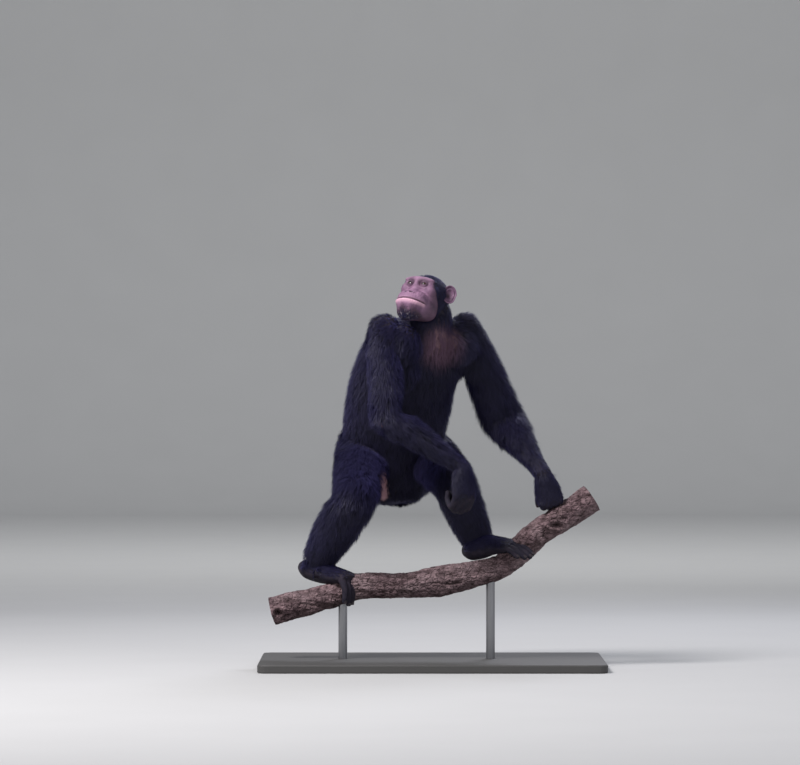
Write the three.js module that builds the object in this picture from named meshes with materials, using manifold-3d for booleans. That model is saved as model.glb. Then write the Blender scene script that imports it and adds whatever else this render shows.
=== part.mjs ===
// A life-size standing chimpanzee on a cut length of branch, which two rods hold over a flat base.
// Millimetres, +Z up. +X is the viewer's right, +Y points away from the viewer. The origin is the
// middle of the base's underside. The animal walks to the right and its face is turned left and up.
import * as THREE from 'three';
import { LoftGeometry } from 'three/addons/geometries/LoftGeometry.js';
import { mergeVertices } from 'three/addons/utils/BufferGeometryUtils.js';
import Module from 'manifold-3d';

const wasm = await Module();
wasm.setup();

const GAP = 0.3; // kept between pieces that meet
const WELD = 1e-3; // vertices closer than this are one
const TRIM = 0.12; // details finer than this are smoothed away
const UNPINCH = 0.02; // how far the sheets of a pinched edge are drawn apart
const KEENEST = 0.12; // how far an edge's faces may turn from it before its growth is held back
const SAMPLES = 80; // along a form's line, to find the nearest place on it
const SWELL_BLEND = 34; // how widely a mass runs into the form it swells

// Joint centres, worked out from limb lengths: upper arm 270, forearm 265, thigh 260, shank 250.
const JOINTS = {
  right: {
    shoulder: [-138, -112, 974],
    elbow: [-132, -205, 738],
    wrist: [86, -176, 590],
    hip: [-196, 132, 636],
    knee: [-226, -85, 497],
    ankle: [-334, 48, 318],
  },
  left: {
    shoulder: [104, 0, 976],
    elbow: [206, 96, 738],
    wrist: [326, -28, 566],
    hip: [-14, 192, 630],
    knee: [59, -38, 550],
    ankle: [134, 66, 372],
  },
};

// The trunk from the rump to the nape: centre, half width, half depth, rise of the coat. Widths
// are out to the tips of the coat, and the flesh under the locks is narrower by the rise.
const TRUNK = [
  [-98, 166, 486, 66, 56, 4],
  [-106, 178, 540, 118, 98, 16],
  [-108, 168, 620, 148, 118, 19],
  [-110, 130, 697, 162, 122, 19],
  [-98, 84, 770, 167, 126, 19],
  [-80, 34, 850, 168, 122, 20],
  [-46, -14, 926, 166, 110, 21],
  [-20, -44, 978, 126, 86, 16],
  [-8, -66, 1018, 78, 70, 10],
  [-2, -84, 1050, 60, 60, 4],
  [-4, -94, 1078, 38, 38, 2],
];
const TRUNK_TURN = 22; // degrees that the chest is turned to the viewer's right
const NECK_START = [-8, -66, 1018];

// Girth of each limb: share of the way (1 is the elbow or knee), half width, half depth, coat.
const ARM_GIRTH = {
  right: [
    [-0.2, 44, 44, 8],
    [0, 64, 66, 19],
    [0.3, 62, 62, 20],
    [0.65, 58, 56, 19],
    [1, 54, 54, 18],
    [1.25, 52, 52, 18],
    [1.55, 44, 44, 15],
    [1.82, 31, 33, 7],
    [2.06, 24, 30, 2],
  ],
  left: [
    [-0.2, 46, 44, 8],
    [0, 65, 64, 19],
    [0.3, 68, 62, 21],
    [0.65, 71, 60, 22],
    [1, 74, 58, 22],
    [1.25, 66, 54, 21],
    [1.5, 49, 46, 15],
    [1.75, 33, 36, 7],
    [2.04, 27, 28, 2],
  ],
};
const LEG_GIRTH = {
  right: [
    [-0.25, 76, 74, 8],
    [0, 94, 90, 18],
    [0.35, 90, 84, 18],
    [0.7, 81, 78, 18],
    [1, 74, 72, 18],
    [1.25, 73, 67, 17],
    [1.5, 72, 62, 16],
    [1.75, 63, 55, 12],
    [2.04, 50, 46, 4],
  ],
  left: [
    [-0.25, 70, 72, 8],
    [0, 84, 86, 18],
    [0.35, 82, 82, 18],
    [0.7, 77, 76, 18],
    [1, 72, 72, 17],
    [1.25, 70, 66, 16],
    [1.5, 67, 60, 15],
    [1.75, 60, 54, 11],
    [2.04, 48, 44, 4],
  ],
};

// The branch: centre and radius, from its left cut end to its right one.
const BRANCH = [
  [-470, 12, 164, 43],
  [-417, 8, 178, 42],
  [-344, 2, 196, 38],
  [-285, 0, 214, 39],
  [-226, -4, 236, 41],
  [-138, -8, 239, 38],
  [-76, -4, 240, 37],
  [23, 4, 252, 46],
  [115, 6, 270, 41],
  [200, 0, 294, 36],
  [262, -6, 348, 42],
  [315, -8, 396, 40],
  [379, -2, 436, 41],
  [470, 8, 496, 43],
];
const KNOTS = [
  [-424, -34, 196, 19],
  [44, -42, 246, 15],
  [372, -34, 452, 17],
];

const BASE = { width: 1010, depth: 660, height: 24, bevel: 3 };
const ROD = { radius: 13, sides: 20, places: [-262, 172] };

const COLOURS = {
  coat: 0x14121a,
  skin: 0x6d5352,
  face: 0x8d6a68,
  eye: 0x2a1a12,
  bark: 0x7c6459,
  base: 0x35322f,
  rod: 0x55585c,
};

const vec = ([x, y, z]) => new THREE.Vector3(x, y, z);
const mix = (a, b, share) => a.clone().lerp(b, share);
const radians = THREE.MathUtils.degToRad;

// Solids

function solidOf(geometry) {
  const bare = new THREE.BufferGeometry();
  bare.setAttribute('position', geometry.attributes.position);
  bare.setIndex(geometry.index);
  const welded = mergeVertices(bare, WELD);
  return new wasm.Manifold(
    new wasm.Mesh({
      numProp: 3,
      vertProperties: welded.attributes.position.array,
      triVerts: new Uint32Array(welded.index.array),
    }),
  );
}

const union = (solids) => wasm.Manifold.union(solids);

// Only the largest closed surface: it drops loose scraps and fills a hollow sealed by fusing.
function largest(solid) {
  const bodies = solid.decompose();
  bodies.sort((a, b) => b.volume() - a.volume());
  return bodies[0];
}

// A solid with each vertex moved out so far that its faces lie further out by a distance.
function moved(solid, distanceAt) {
  const { numProp, numVert, numTri, vertProperties, triVerts } = solid.getMesh();
  const at = (i) => new THREE.Vector3().fromArray(vertProperties, i * numProp);
  const around = Array.from({ length: numVert }, () => []);
  for (let i = 0; i < numTri; i++) {
    const corners = [...triVerts.subarray(i * 3, i * 3 + 3)];
    const [a, b, c] = corners.map(at);
    const facing = b.clone().sub(a).cross(c.clone().sub(a)).normalize();
    corners.forEach((corner, k) => {
      const [p, q, r] = [corner, corners[(k + 1) % 3], corners[(k + 2) % 3]].map(at);
      around[corner].push({ facing, angle: q.sub(p).angleTo(r.sub(p)) });
    });
  }
  const places = around.map((faces, i) => {
    const way = new THREE.Vector3();
    faces.forEach(({ facing, angle }) => way.addScaledVector(facing, angle));
    way.normalize();
    const least = Math.min(...faces.map(({ facing }) => facing.dot(way)));
    return at(i).addScaledVector(way, distanceAt(at(i)) / Math.max(least, KEENEST));
  });
  return bodyOf(places, [...triVerts]);
}

// A solid grown by the gap and the trim, to cut its neighbours clear of it.
const grown = (solid) => moved(solid, () => GAP + TRIM);

// A solid without pinches: where two of its vertices share a place, both are drawn in a little.
function unpinched(solid) {
  const key = (point) => point.toArray().map((value) => Math.round(value / WELD)).join();
  const { numProp, numVert, vertProperties } = solid.getMesh();
  const counts = new Map();
  for (let i = 0; i < numVert; i++) {
    const place = key(new THREE.Vector3().fromArray(vertProperties, i * numProp));
    counts.set(place, (counts.get(place) ?? 0) + 1);
  }
  return moved(solid, (point) => (counts.get(key(point)) > 1 ? -UNPINCH : 0));
}

// One body with nothing finer than the trim.
function settled(solid) {
  return unpinched(welded(largest(solid).simplify(TRIM)));
}

// One body that stays the same when its vertices are welded.
function welded(solid) {
  let body = largest(solid);
  for (let pass = 0; pass < 3; pass++) body = largest(solidOf(geometryOf(body)));
  return body;
}

function geometryOf(solid) {
  const mesh = solid.getMesh();
  const places = new Float32Array(mesh.numVert * 3);
  for (let i = 0; i < mesh.numVert; i++) {
    places.set(mesh.vertProperties.subarray(i * mesh.numProp, i * mesh.numProp + 3), i * 3);
  }
  const geometry = new THREE.BufferGeometry();
  geometry.setAttribute('position', new THREE.BufferAttribute(places, 3));
  geometry.setIndex(new THREE.BufferAttribute(new Uint32Array(mesh.triVerts), 1));
  geometry.computeVertexNormals();
  return geometry;
}

function ball(centre, radii, turn = new THREE.Matrix4(), detail = [14, 10]) {
  const geometry = new THREE.SphereGeometry(1, ...detail);
  geometry.scale(...radii);
  geometry.applyMatrix4(turn);
  geometry.translate(centre.x, centre.y, centre.z);
  return solidOf(geometry);
}

// The lesser of two numbers, rounded off where they are close.
function smoothMin(a, b, blend) {
  const overlap = Math.max(blend - Math.abs(a - b), 0) / blend;
  return Math.min(a, b) - (overlap ** 2 * blend) / 4;
}

// How far along a ray from inside it leaves an ellipsoid, or 0 where it misses.
function exitDistance(from, direction, { at, size }) {
  const start = from.clone().sub(at).divide(size);
  const step = direction.clone().divide(size);
  const [a, b, c] = [step.dot(step), start.dot(step), start.dot(start) - 1];
  const inside = b * b - a * c;
  return inside < 0 ? 0 : (Math.sqrt(inside) - b) / a;
}

// A bent form: elliptical rings strung along a smooth line, swollen where masses reach further.
class Form {
  constructor(stations, side, masses = []) {
    this.line = new THREE.CatmullRomCurve3(stations.map((s) => s.at), false, 'centripetal');
    this.girth = new THREE.CatmullRomCurve3(
      stations.map((s) => new THREE.Vector3(s.width, s.depth, s.coat ?? 0)),
      false,
      'catmullrom',
      0.5,
    );
    this.side = side;
    this.masses = masses;
    this.length = this.line.getLength();
    this.samples = this.line.getSpacedPoints(SAMPLES);
  }

  // The line's point, axes and girth at share u of its length.
  frame(u) {
    const t = this.line.getUtoTmapping(THREE.MathUtils.clamp(u, 0, 1));
    const along = this.line.getTangent(t);
    const across = this.side.clone().addScaledVector(along, -this.side.dot(along)).normalize();
    const out = along.clone().cross(across);
    const { x: width, y: depth, z: coat } = this.girth.getPoint(t);
    return { centre: this.line.getPoint(t), along, across, out, width, depth, coat };
  }

  // The flesh's surface point at share u of the line and angle a round it, raised by h.
  at(u, a, h = 0) {
    const { centre, across, out, width, depth, coat } = this.frame(u);
    const ray = across.multiplyScalar(Math.cos(a) * width).addScaledVector(out, Math.sin(a) * depth);
    let reach = ray.length();
    ray.normalize();
    for (const mass of this.masses) {
      reach = -smoothMin(-reach, -exitDistance(centre, ray, mass), SWELL_BLEND);
    }
    return centre.addScaledVector(ray, reach - coat + h);
  }

  shareNear(point) {
    let best = 0;
    this.samples.forEach((sample, i) => {
      if (sample.distanceTo(point) < this.samples[best].distanceTo(point)) best = i;
    });
    return best / SAMPLES;
  }

  // Whether a point lies in the form, tips of the coat included, or closer to it than a margin.
  near(point, margin) {
    const u = this.shareNear(point);
    const { centre, across, out, width, depth } = this.frame(u);
    const offset = point.clone().sub(centre);
    const [x, y] = [offset.dot(across) / (width + margin), offset.dot(out) / (depth + margin)];
    const past = Math.abs(offset.dot(across.cross(out)));
    return Math.hypot(x, y) < 1 && past < margin + this.length / SAMPLES;
  }

  solid(rings, sides) {
    const sections = [];
    for (let i = 0; i <= rings; i++) {
      const ring = [];
      for (let j = 0; j < sides; j++) ring.push(this.at(i / rings, (j / sides) * 2 * Math.PI));
      sections.push(ring);
    }
    return solidOf(new LoftGeometry(sections, { capStart: true, capEnd: true }));
  }

  // A thin disc square to the line, which parts what it crosses.
  disc(u, radius) {
    const disc = new THREE.CylinderGeometry(radius, radius, GAP, 24);
    const { along, centre } = this.frame(u);
    const turn = new THREE.Quaternion().setFromUnitVectors(new THREE.Vector3(0, 1, 0), along);
    disc.applyQuaternion(turn);
    disc.translate(centre.x, centre.y, centre.z);
    return solidOf(disc);
  }
}

// Parts a solid where a disc crosses it, and returns the piece before it and the one after it.
function partedAt(solid, form, point, radius) {
  const disc = form.disc(form.shareNear(vec(point)), radius);
  const pieces = solid.subtract(disc).decompose();
  pieces.sort((a, b) => b.volume() - a.volume());
  const middle = (piece) => {
    const box = piece.boundingBox();
    return form.shareNear(mix(vec(box.min), vec(box.max), 0.5));
  };
  return pieces.slice(0, 2).sort((a, b) => middle(a) - middle(b));
}

// Trunk, arms and legs

// Muscles and soft masses that swell the trunk: centre, three radii.
const MASSES = {
  shoulder_blade_right: [-118, -30, 930, 78, 72, 86],
  shoulder_blade_left: [48, 20, 936, 76, 70, 82],
  buttock_right: [-178, 200, 590, 76, 80, 88],
  buttock_left: [-46, 238, 592, 74, 78, 88],
};

const turned = radians(TRUNK_TURN);
const TO_LEFT = new THREE.Vector3(Math.cos(turned), Math.sin(turned), 0);

const trunk = new Form(
  TRUNK.map(([x, y, z, width, depth, coat]) => ({ at: vec([x, y, z]), width, depth, coat })),
  TO_LEFT,
  Object.values(MASSES).map(([x, y, z, ...size]) => ({ at: vec([x, y, z]), size: vec(size) })),
);

function limb([root, bend, end], girth, side) {
  const [a, b, c] = [root, bend, end].map(vec);
  const stations = girth.map(([share, width, depth, coat]) => {
    const at = share <= 1 ? a.clone().lerp(b, share) : b.clone().lerp(c, share - 1);
    return { at, width, depth, coat };
  });
  return new Form(stations, side);
}

const armLine = ({ shoulder, elbow, wrist }) => [shoulder, elbow, wrist];
const legLine = ({ hip, knee, ankle }) => [hip, knee, ankle];
const arms = {
  right: limb(armLine(JOINTS.right), ARM_GIRTH.right, new THREE.Vector3(0.55, -0.2, 0.8)),
  left: limb(armLine(JOINTS.left), ARM_GIRTH.left, new THREE.Vector3(0.85, 0.1, 0.5)),
};
const legs = {
  right: limb(legLine(JOINTS.right), LEG_GIRTH.right, new THREE.Vector3(0.9, 0.1, -0.4)),
  left: limb(legLine(JOINTS.left), LEG_GIRTH.left, new THREE.Vector3(0.9, 0.3, 0.3)),
};

// Locks of the coat

// Numbers between 0 and 1 that look random and are the same each time.
function seeded(seed) {
  let state = seed;
  return () => {
    state = (state * 1664525 + 1013904223) % 4294967296;
    return state / 4294967296;
  };
}

const LOCK = {
  length: 145, // from root to tip
  width: 104, // where it is widest
  thickness: 9,
  spacing: 100, // between rows
  side: 98, // between neighbours in a row
  sink: 9, // how deep the root's middle lies in the flesh
  bend: 0.22, // how far it may sweep sideways, as a share of its length
  clear: 12, // kept from other limbs
};

// The way a lock runs from root to tip: how far along, half width, half thickness, height.
const LOCK_RUN = [
  [0, 0.6, 0.9, 0],
  [0.34, 1, 1, 0.42],
  [0.7, 0.74, 0.72, 0.8],
];

// One lock: a flat leaf that follows the coat's lie, bends sideways and lifts its tip.
function lock(form, { u, a, flow, size, sweep, lift }) {
  const reach = (LOCK.length * size * flow) / form.length;
  const { width, depth } = form.frame(u);
  const half = (LOCK.width * size) / 2 / Math.sqrt(width * depth);
  const point = ([along, broad, thick, height]) => {
    const share = u + reach * along;
    const angle = a + sweep * along ** 2;
    const sink = LOCK.sink * Math.min(size, 1);
    const middle = -sink + (sink + lift) * height;
    const thickness = (LOCK.thickness * size * thick) / 2;
    return [
      form.at(share, angle - half * broad, middle - thickness * 0.3),
      form.at(share, angle, middle + thickness),
      form.at(share, angle + half * broad, middle - thickness * 0.3),
      form.at(share, angle, middle - thickness),
    ];
  };
  return leaf(LOCK_RUN.map(point), form.at(u + reach, a + sweep, lift));
}

// A closed body over rings of four points that ends in one point.
function leaf(rings, end) {
  const places = [...rings.flat(), end];
  const faces = [0, 2, 1, 0, 3, 2];
  rings.slice(1).forEach((ring, i) => {
    for (let j = 0; j < 4; j++) {
      const [p, q] = [i * 4 + j, i * 4 + ((j + 1) % 4)];
      faces.push(p, q, q + 4, p, q + 4, p + 4);
    }
  });
  const last = (rings.length - 1) * 4;
  for (let j = 0; j < 4; j++) faces.push(last + j, last + ((j + 1) % 4), places.length - 1);
  return bodyOf(places, faces);
}

// A solid from points and faces, turned right side out.
function bodyOf(places, faces) {
  const build = (order) => {
    const geometry = new THREE.BufferGeometry().setFromPoints(places);
    geometry.setIndex(order);
    return solidOf(geometry);
  };
  const body = build(faces);
  if (body.volume() > 0) return body;
  const turnedFaces = [];
  for (let i = 0; i < faces.length; i += 3) turnedFaces.push(faces[i], faces[i + 2], faces[i + 1]);
  return build(turnedFaces);
}

// The places of the locks on a form: staggered rows from one share of its line to another.
function lockPlan(form, { from, to, flow, seed, others, skip }) {
  const random = seeded(seed);
  const rows = Math.round(((to - from) * form.length) / LOCK.spacing);
  const plan = [];
  for (let row = 0; row <= rows; row++) {
    const level = from + ((to - from) * row) / rows;
    const { width, depth, coat } = form.frame(level);
    const round = 2 * Math.PI * (Math.sqrt(width * depth) - coat / 2);
    const count = Math.max(4, Math.round(round / LOCK.side));
    for (let i = 0; i < count; i++) {
      const a = ((i + (row % 2) / 2 + (random() - 0.5) * 0.3) / count) * 2 * Math.PI;
      const u = level + ((random() - 0.5) * 0.25 * LOCK.spacing) / form.length;
      const size = 0.86 + random() * 0.26;
      const sweep = ((random() - 0.5) * 2 * LOCK.bend * LOCK.length * size) / Math.sqrt(width * depth);
      const tipShare = u + (LOCK.length * size * flow) / form.length;
      if (tipShare < 0.015 || tipShare > 0.985) continue;
      const lift = form.frame(tipShare).coat * (0.82 + random() * 0.2);
      const half = (LOCK.width * size) / 2 / Math.sqrt(width * depth);
      const marks = [0.1, 0.35, 0.7, 1].flatMap((along) => [-1, 0, 1].map((side) => {
        const angle = a + sweep * along ** 2 + side * half * (1 - along ** 3);
        return form.at(u + (tipShare - u) * along, angle, lift * along);
      }));
      if (marks.some((mark) => others.some((other) => other.near(mark, LOCK.clear)))) continue;
      if (skip?.(marks)) continue;
      plan.push({ u, a, flow, size, sweep, lift });
    }
  }
  return plan;
}

// Branch and stand

const branchForm = new Form(
  BRANCH.map(([x, y, z, radius]) => ({ at: vec([x, y, z]), width: radius, depth: radius })),
  new THREE.Vector3(0, 1, 0),
);

function branchSolid() {
  const knots = KNOTS.map(([x, y, z, radius]) => {
    return ball(vec([x, y, z]), [radius * 1.2, radius, radius], undefined, [9, 6]);
  });
  return union([branchForm.solid(28, 9), ...knots]);
}

function baseSolid() {
  const { width, depth, height, bevel } = BASE;
  const outline = new THREE.Shape();
  const corner = 30;
  const [w, d] = [width / 2 - bevel, depth / 2 - bevel];
  outline.moveTo(-w + corner, -d);
  outline.lineTo(w - corner, -d);
  outline.quadraticCurveTo(w, -d, w, -d + corner);
  outline.lineTo(w, d - corner);
  outline.quadraticCurveTo(w, d, w - corner, d);
  outline.lineTo(-w + corner, d);
  outline.quadraticCurveTo(-w, d, -w, d - corner);
  outline.lineTo(-w, -d + corner);
  outline.quadraticCurveTo(-w, -d, -w + corner, -d);
  const plate = new THREE.ExtrudeGeometry(outline, {
    depth: height - 2 * bevel,
    bevelThickness: bevel,
    bevelSize: bevel,
    bevelSegments: 1,
    curveSegments: 5,
  });
  plate.translate(0, 0, bevel);
  return solidOf(plate);
}

function rodSolid(x) {
  const middle = branchForm.samples.reduce((best, sample) =>
    Math.abs(sample.x - x) < Math.abs(best.x - x) ? sample : best);
  const foot = BASE.height + GAP;
  const rod = new THREE.CylinderGeometry(ROD.radius, ROD.radius, middle.z - foot, ROD.sides);
  rod.rotateX(Math.PI / 2);
  rod.translate(x, middle.y, (middle.z + foot) / 2);
  return solidOf(rod);
}

// Hands and feet

// A finger or toe: bones strung from a knuckle, each bent on from the last about one axis.
function digit(knuckle, along, bendAxis, lengths, bends, radius) {
  const points = [knuckle.clone().addScaledVector(along, -radius * 1.6), knuckle.clone()];
  const direction = along.clone();
  lengths.forEach((length, i) => {
    direction.applyAxisAngle(bendAxis, radians(bends[i]));
    points.push(points.at(-1).clone().addScaledVector(direction, length));
  });
  points.push(points.at(-1).clone().addScaledVector(direction, radius * 0.55));
  const sizes = [0.95, 1.08, 0.98, 0.9, 0.78, 0.34].slice(-points.length);
  const stations = points.map((at, i) => ({ at, width: radius * sizes[i], depth: radius * sizes[i] }));
  return new Form(stations, bendAxis);
}

// across points to the thumb's or big toe's side, and palm is the way that the digits close.
function extremity(plan) {
  const { stations, along, across, palm, knuckles, digits, thumb } = plan;
  const forms = [new Form(stations, across)];
  const closing = along.clone().cross(palm).normalize();
  for (const { offset, set, lengths, bends, radius } of digits) {
    const root = knuckles.clone().addScaledVector(across, offset).addScaledVector(along, set);
    forms.push(digit(root, along, closing, lengths, bends, radius));
  }
  const { root, direction, axis, lengths, bends, radius } = thumb;
  forms.push(digit(root, direction, axis, lengths, bends, radius));
  return forms;
}

const FINGER_OFFSETS = [26, 9, -9, -25]; // from the forefinger to the little finger
const FINGER_REACH = [0.93, 1.04, 1, 0.84];
const FINGER_BONES = [50, 36, 24];
const TOE_BONES = [34, 25, 19];

function handForms(wrist, along, palm, thumbSide, bends, thumbBends) {
  const across = along.clone().cross(palm).normalize().multiplyScalar(thumbSide);
  const at = (share) => wrist.clone().addScaledVector(along, share);
  const knuckles = at(88);
  return extremity({
    stations: [
      { at: at(-14), width: 22, depth: 18 },
      { at: at(6), width: 27, depth: 20 },
      { at: at(40), width: 35, depth: 18 },
      { at: at(78), width: 38, depth: 15 },
      { at: at(96), width: 33, depth: 10 },
    ],
    along, across, palm, knuckles,
    digits: FINGER_OFFSETS.map((offset, i) => ({
      offset,
      set: -Math.abs(i - 1.4) * 3,
      lengths: FINGER_BONES.map((bone) => bone * FINGER_REACH[i]),
      bends,
      radius: i === 3 ? 9.5 : 11,
    })),
    thumb: {
      root: at(26).addScaledVector(across, 23).addScaledVector(palm, 6),
      direction: along.clone().multiplyScalar(0.95).addScaledVector(across, 0.28).normalize(),
      axis: along.clone().cross(palm).normalize(),
      lengths: [34, 26],
      bends: thumbBends,
      radius: 10,
    },
  });
}

const HANDS = {
  right: handForms(
    vec(JOINTS.right.wrist), vec([0.06, -0.22, -0.97]).normalize(), vec([-0.5, 0.86, -0.1]).normalize(),
    1, [48, 92, 50], [16, 30],
  ),
  left: handForms(
    vec(JOINTS.left.wrist), vec([0.28, 0.02, -0.96]).normalize(), vec([0.05, 0.99, 0.03]).normalize(),
    -1, [80, 88, 55], [4, 30],
  ),
};

function footForms(line, sole, bigToeSide, toeBends, bigToe) {
  const [heel, instep, toeRoot] = line.map(vec);
  const along = toeRoot.clone().sub(instep).normalize();
  const across = along.clone().cross(sole).normalize().multiplyScalar(bigToeSide);
  return extremity({
    stations: [
      { at: mix(heel, instep, -0.42), width: 14, depth: 14 },
      { at: mix(heel, instep, -0.22), width: 25, depth: 25 },
      { at: heel, width: 31, depth: 31 },
      { at: mix(heel, instep, 0.55), width: 33, depth: 32 },
      { at: instep, width: 37, depth: 28 },
      { at: toeRoot, width: 38, depth: 18 },
      { at: mix(instep, toeRoot, 1.25), width: 32, depth: 9 },
    ],
    along, across, palm: sole, knuckles: toeRoot,
    digits: FINGER_OFFSETS.map((offset, i) => ({
      offset: offset * 0.98,
      set: -i * 3,
      lengths: TOE_BONES.map((bone) => bone * FINGER_REACH[i]),
      bends: toeBends,
      radius: i === 3 ? 8.8 : 10,
    })),
    thumb: {
      root: mix(heel, instep, 0.9).addScaledVector(across, 24),
      direction: vec(bigToe.direction).normalize(),
      axis: vec(bigToe.axis).normalize(),
      lengths: [42, 28],
      bends: bigToe.bends,
      radius: 13,
    },
  });
}

const FEET = {
  right: footForms(
    [[-362, 66, 286], [-302, 18, 270], [-252, -30, 263]],
    vec([0.1, -0.1, -0.99]).normalize(), -1, [48, 30, 14],
    { direction: [0.86, -0.1, -0.1], axis: [0.2, 0.95, 0], bends: [26, 34] },
  ),
  left: footForms(
    [[118, 44, 342], [172, 8, 355], [222, -36, 357]],
    vec([0.16, 0.1, -0.98]).normalize(), 1, [14, 14, 12],
    { direction: [0.82, -0.52, -0.24], axis: [0.85, 0.5, 0], bends: [-12, -30] },
  ),
};

// Head

const HEAD = { centre: [-18, -108, 1081], scale: 0.87, turn: 26, tilt: 27, roll: -4.5 };

// Head axes: x forward out of the face, y to the animal's left, z up.
const headPlace = (() => {
  const turn = new THREE.Matrix4().makeRotationZ(radians(-90 - HEAD.turn));
  const tilt = new THREE.Matrix4().makeRotationY(radians(-HEAD.tilt));
  const roll = new THREE.Matrix4().makeRotationX(radians(HEAD.roll));
  return new THREE.Matrix4()
    .makeTranslation(...HEAD.centre)
    .multiply(turn)
    .multiply(tilt)
    .multiply(roll)
    .scale(new THREE.Vector3(HEAD.scale, HEAD.scale, HEAD.scale));
})();

// Rounded masses of the head: centre, radii. A pair is mirrored to the other side.
const HEAD_MASSES = [
  { at: [-14, 0, 28], size: [80, 64, 54] }, // skull
  { at: [-48, 0, -4], size: [46, 58, 52] }, // nape
  { at: [14, 40, 2], size: [54, 30, 54], pair: true }, // temples
  { at: [48, 0, 0], size: [40, 56, 42] }, // middle of the face
  { at: [68, 28, 30], size: [18, 29, 9], pair: true }, // brow ridge
  { at: [78, 0, 29], size: [12, 26, 8] }, // brow between the eyes
  { at: [58, 46, 0], size: [24, 18, 20], pair: true }, // cheekbones
  { at: [70, 0, -52], size: [47, 43, 28] }, // muzzle
  { at: [86, 24, -47], size: [29, 25, 25], pair: true }, // sides of the muzzle
  { at: [98, 0, -54], size: [34, 37, 17] }, // upper lip
  { at: [98, 0, -74], size: [34, 45, 24] }, // lower lip
  { at: [78, 0, -94], size: [34, 44, 26] }, // chin
  { at: [80, 0, 5], size: [16, 12, 24] }, // bridge of the nose
  { at: [91, 0, -28], size: [15, 18, 11] }, // nose
  { at: [34, 34, -58], size: [52, 28, 34], pair: true }, // jaw
  { at: [52, 22, -78], size: [42, 28, 27], pair: true }, // under the jaw
  { at: [20, 0, -50], size: [48, 44, 38] }, // throat
];
const HEAD_HOLLOWS = [
  { at: [97, 26, 11], size: [22, 16, 10], pair: true }, // eye sockets
];
const HEAD_BLEND = 15; // how widely the masses run into each other
const HOLLOW_BLEND = 9;
const HEAD_HEART = new THREE.Vector3(32, 0, -12); // the surface is found outward from here

function ellipsoidDistance(p, at, size) {
  const [x, y, z] = [(p.x - at[0]) / size[0], (p.y - at[1]) / size[1], (p.z - at[2]) / size[2]];
  const near = Math.hypot(x, y, z);
  const slope = Math.hypot(x / size[0], y / size[1], z / size[2]);
  return (near * (near - 1)) / Math.max(slope, 1e-9);
}

const sides = (mass) => (mass.pair ? [1, -1] : [1]);

function headDistance(p) {
  let distance = 1e3;
  for (const mass of HEAD_MASSES) {
    for (const side of sides(mass)) {
      const [x, y, z] = mass.at;
      distance = smoothMin(distance, ellipsoidDistance(p, [x, y * side, z], mass.size), HEAD_BLEND);
    }
  }
  for (const hollow of HEAD_HOLLOWS) {
    for (const side of sides(hollow)) {
      const [x, y, z] = hollow.at;
      const away = ellipsoidDistance(p, [x, y * side, z], hollow.size);
      distance = -smoothMin(-distance, away, HOLLOW_BLEND);
    }
  }
  return distance;
}

// The point of the head's surface in a direction from its heart, raised by h.
function headPoint(direction) {
  let reach = 210;
  for (let i = 0; i < 60; i++) {
    const gap = headDistance(HEAD_HEART.clone().addScaledVector(direction, reach));
    reach -= gap * 0.8;
    if (Math.abs(gap) < 0.02) break;
  }
  return HEAD_HEART.clone().addScaledVector(direction, reach);
}

const FACE_CROWDING = 0.42; // above 0 the faces crowd towards the muzzle

function skull() {
  const geometry = mergeVertices(bareIcosahedron(7), WELD);
  const place = geometry.attributes.position;
  for (let i = 0; i < place.count; i++) {
    const direction = new THREE.Vector3().fromBufferAttribute(place, i);
    direction.x += FACE_CROWDING;
    place.setXYZ(i, ...headPoint(direction.normalize()).toArray());
  }
  return solidOf(geometry);
}

function bareIcosahedron(detail) {
  const geometry = new THREE.IcosahedronGeometry(1, detail);
  geometry.deleteAttribute('normal');
  geometry.deleteAttribute('uv');
  return geometry;
}

const EYE = { at: [76, 24.5, 11], radius: 13 };
const NOSTRIL = { at: [104, 6, -34], size: [5, 4.6, 3.8] };
const onSide = ([x, y, z], side) => new THREE.Vector3(x, y * side, z);

// The groove between the lips: a thin blade swept round the front of the muzzle.
const MOUTH = { reach: 56, level: -0.53, droop: 0.03, height: 2.2, depth: 7, narrowing: 0.72 };

function mouthGroove() {
  const stations = [];
  const steps = 16;
  for (let i = 0; i <= steps; i++) {
    const share = -1 + (2 * i) / steps;
    const angle = radians(MOUTH.reach * share);
    const level = MOUTH.level - MOUTH.droop * share ** 2;
    const out = new THREE.Vector3(Math.cos(angle), Math.sin(angle) * MOUTH.narrowing, level);
    const open = 0.25 + 0.75 * Math.cos(share * 1.5);
    stations.push({
      at: headPoint(out.normalize()),
      width: MOUTH.height * open,
      depth: MOUTH.depth * open,
    });
  }
  return new Form(stations, new THREE.Vector3(0, 0, 1)).solid(20, 6);
}

function lid(side) {
  const ring = new THREE.TorusGeometry(EYE.radius * 1.02, 4.4, 7, 18);
  ring.scale(1.14, 0.74, 1);
  ring.rotateY(Math.PI / 2);
  ring.rotateZ(radians(16 * side));
  const place = onSide(EYE.at, side);
  ring.translate(place.x + 6, place.y + 1.5 * side, place.z);
  return solidOf(ring);
}

function headSolid() {
  const lids = [1, -1].map(lid);
  const sockets = [1, -1].map((side) =>
    ball(onSide(EYE.at, side), Array(3).fill(EYE.radius + GAP / HEAD.scale), undefined, [12, 8]),
  );
  const nostrils = [1, -1].map((side) => {
    const toNostril = onSide(NOSTRIL.at, side).sub(HEAD_HEART).normalize();
    return ball(headPoint(toNostril), NOSTRIL.size, undefined, [10, 8]);
  });
  return skull()
    .add(union(lids))
    .subtract(union([...sockets, ...nostrils, mouthGroove()]));
}

// An ear: a cupped disc with a rolled rim and an inner fold.
const EAR = { at: [-12, 76, 25], height: 33, width: 24, face: 48, lean: 8, trim: 0.25 };

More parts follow.
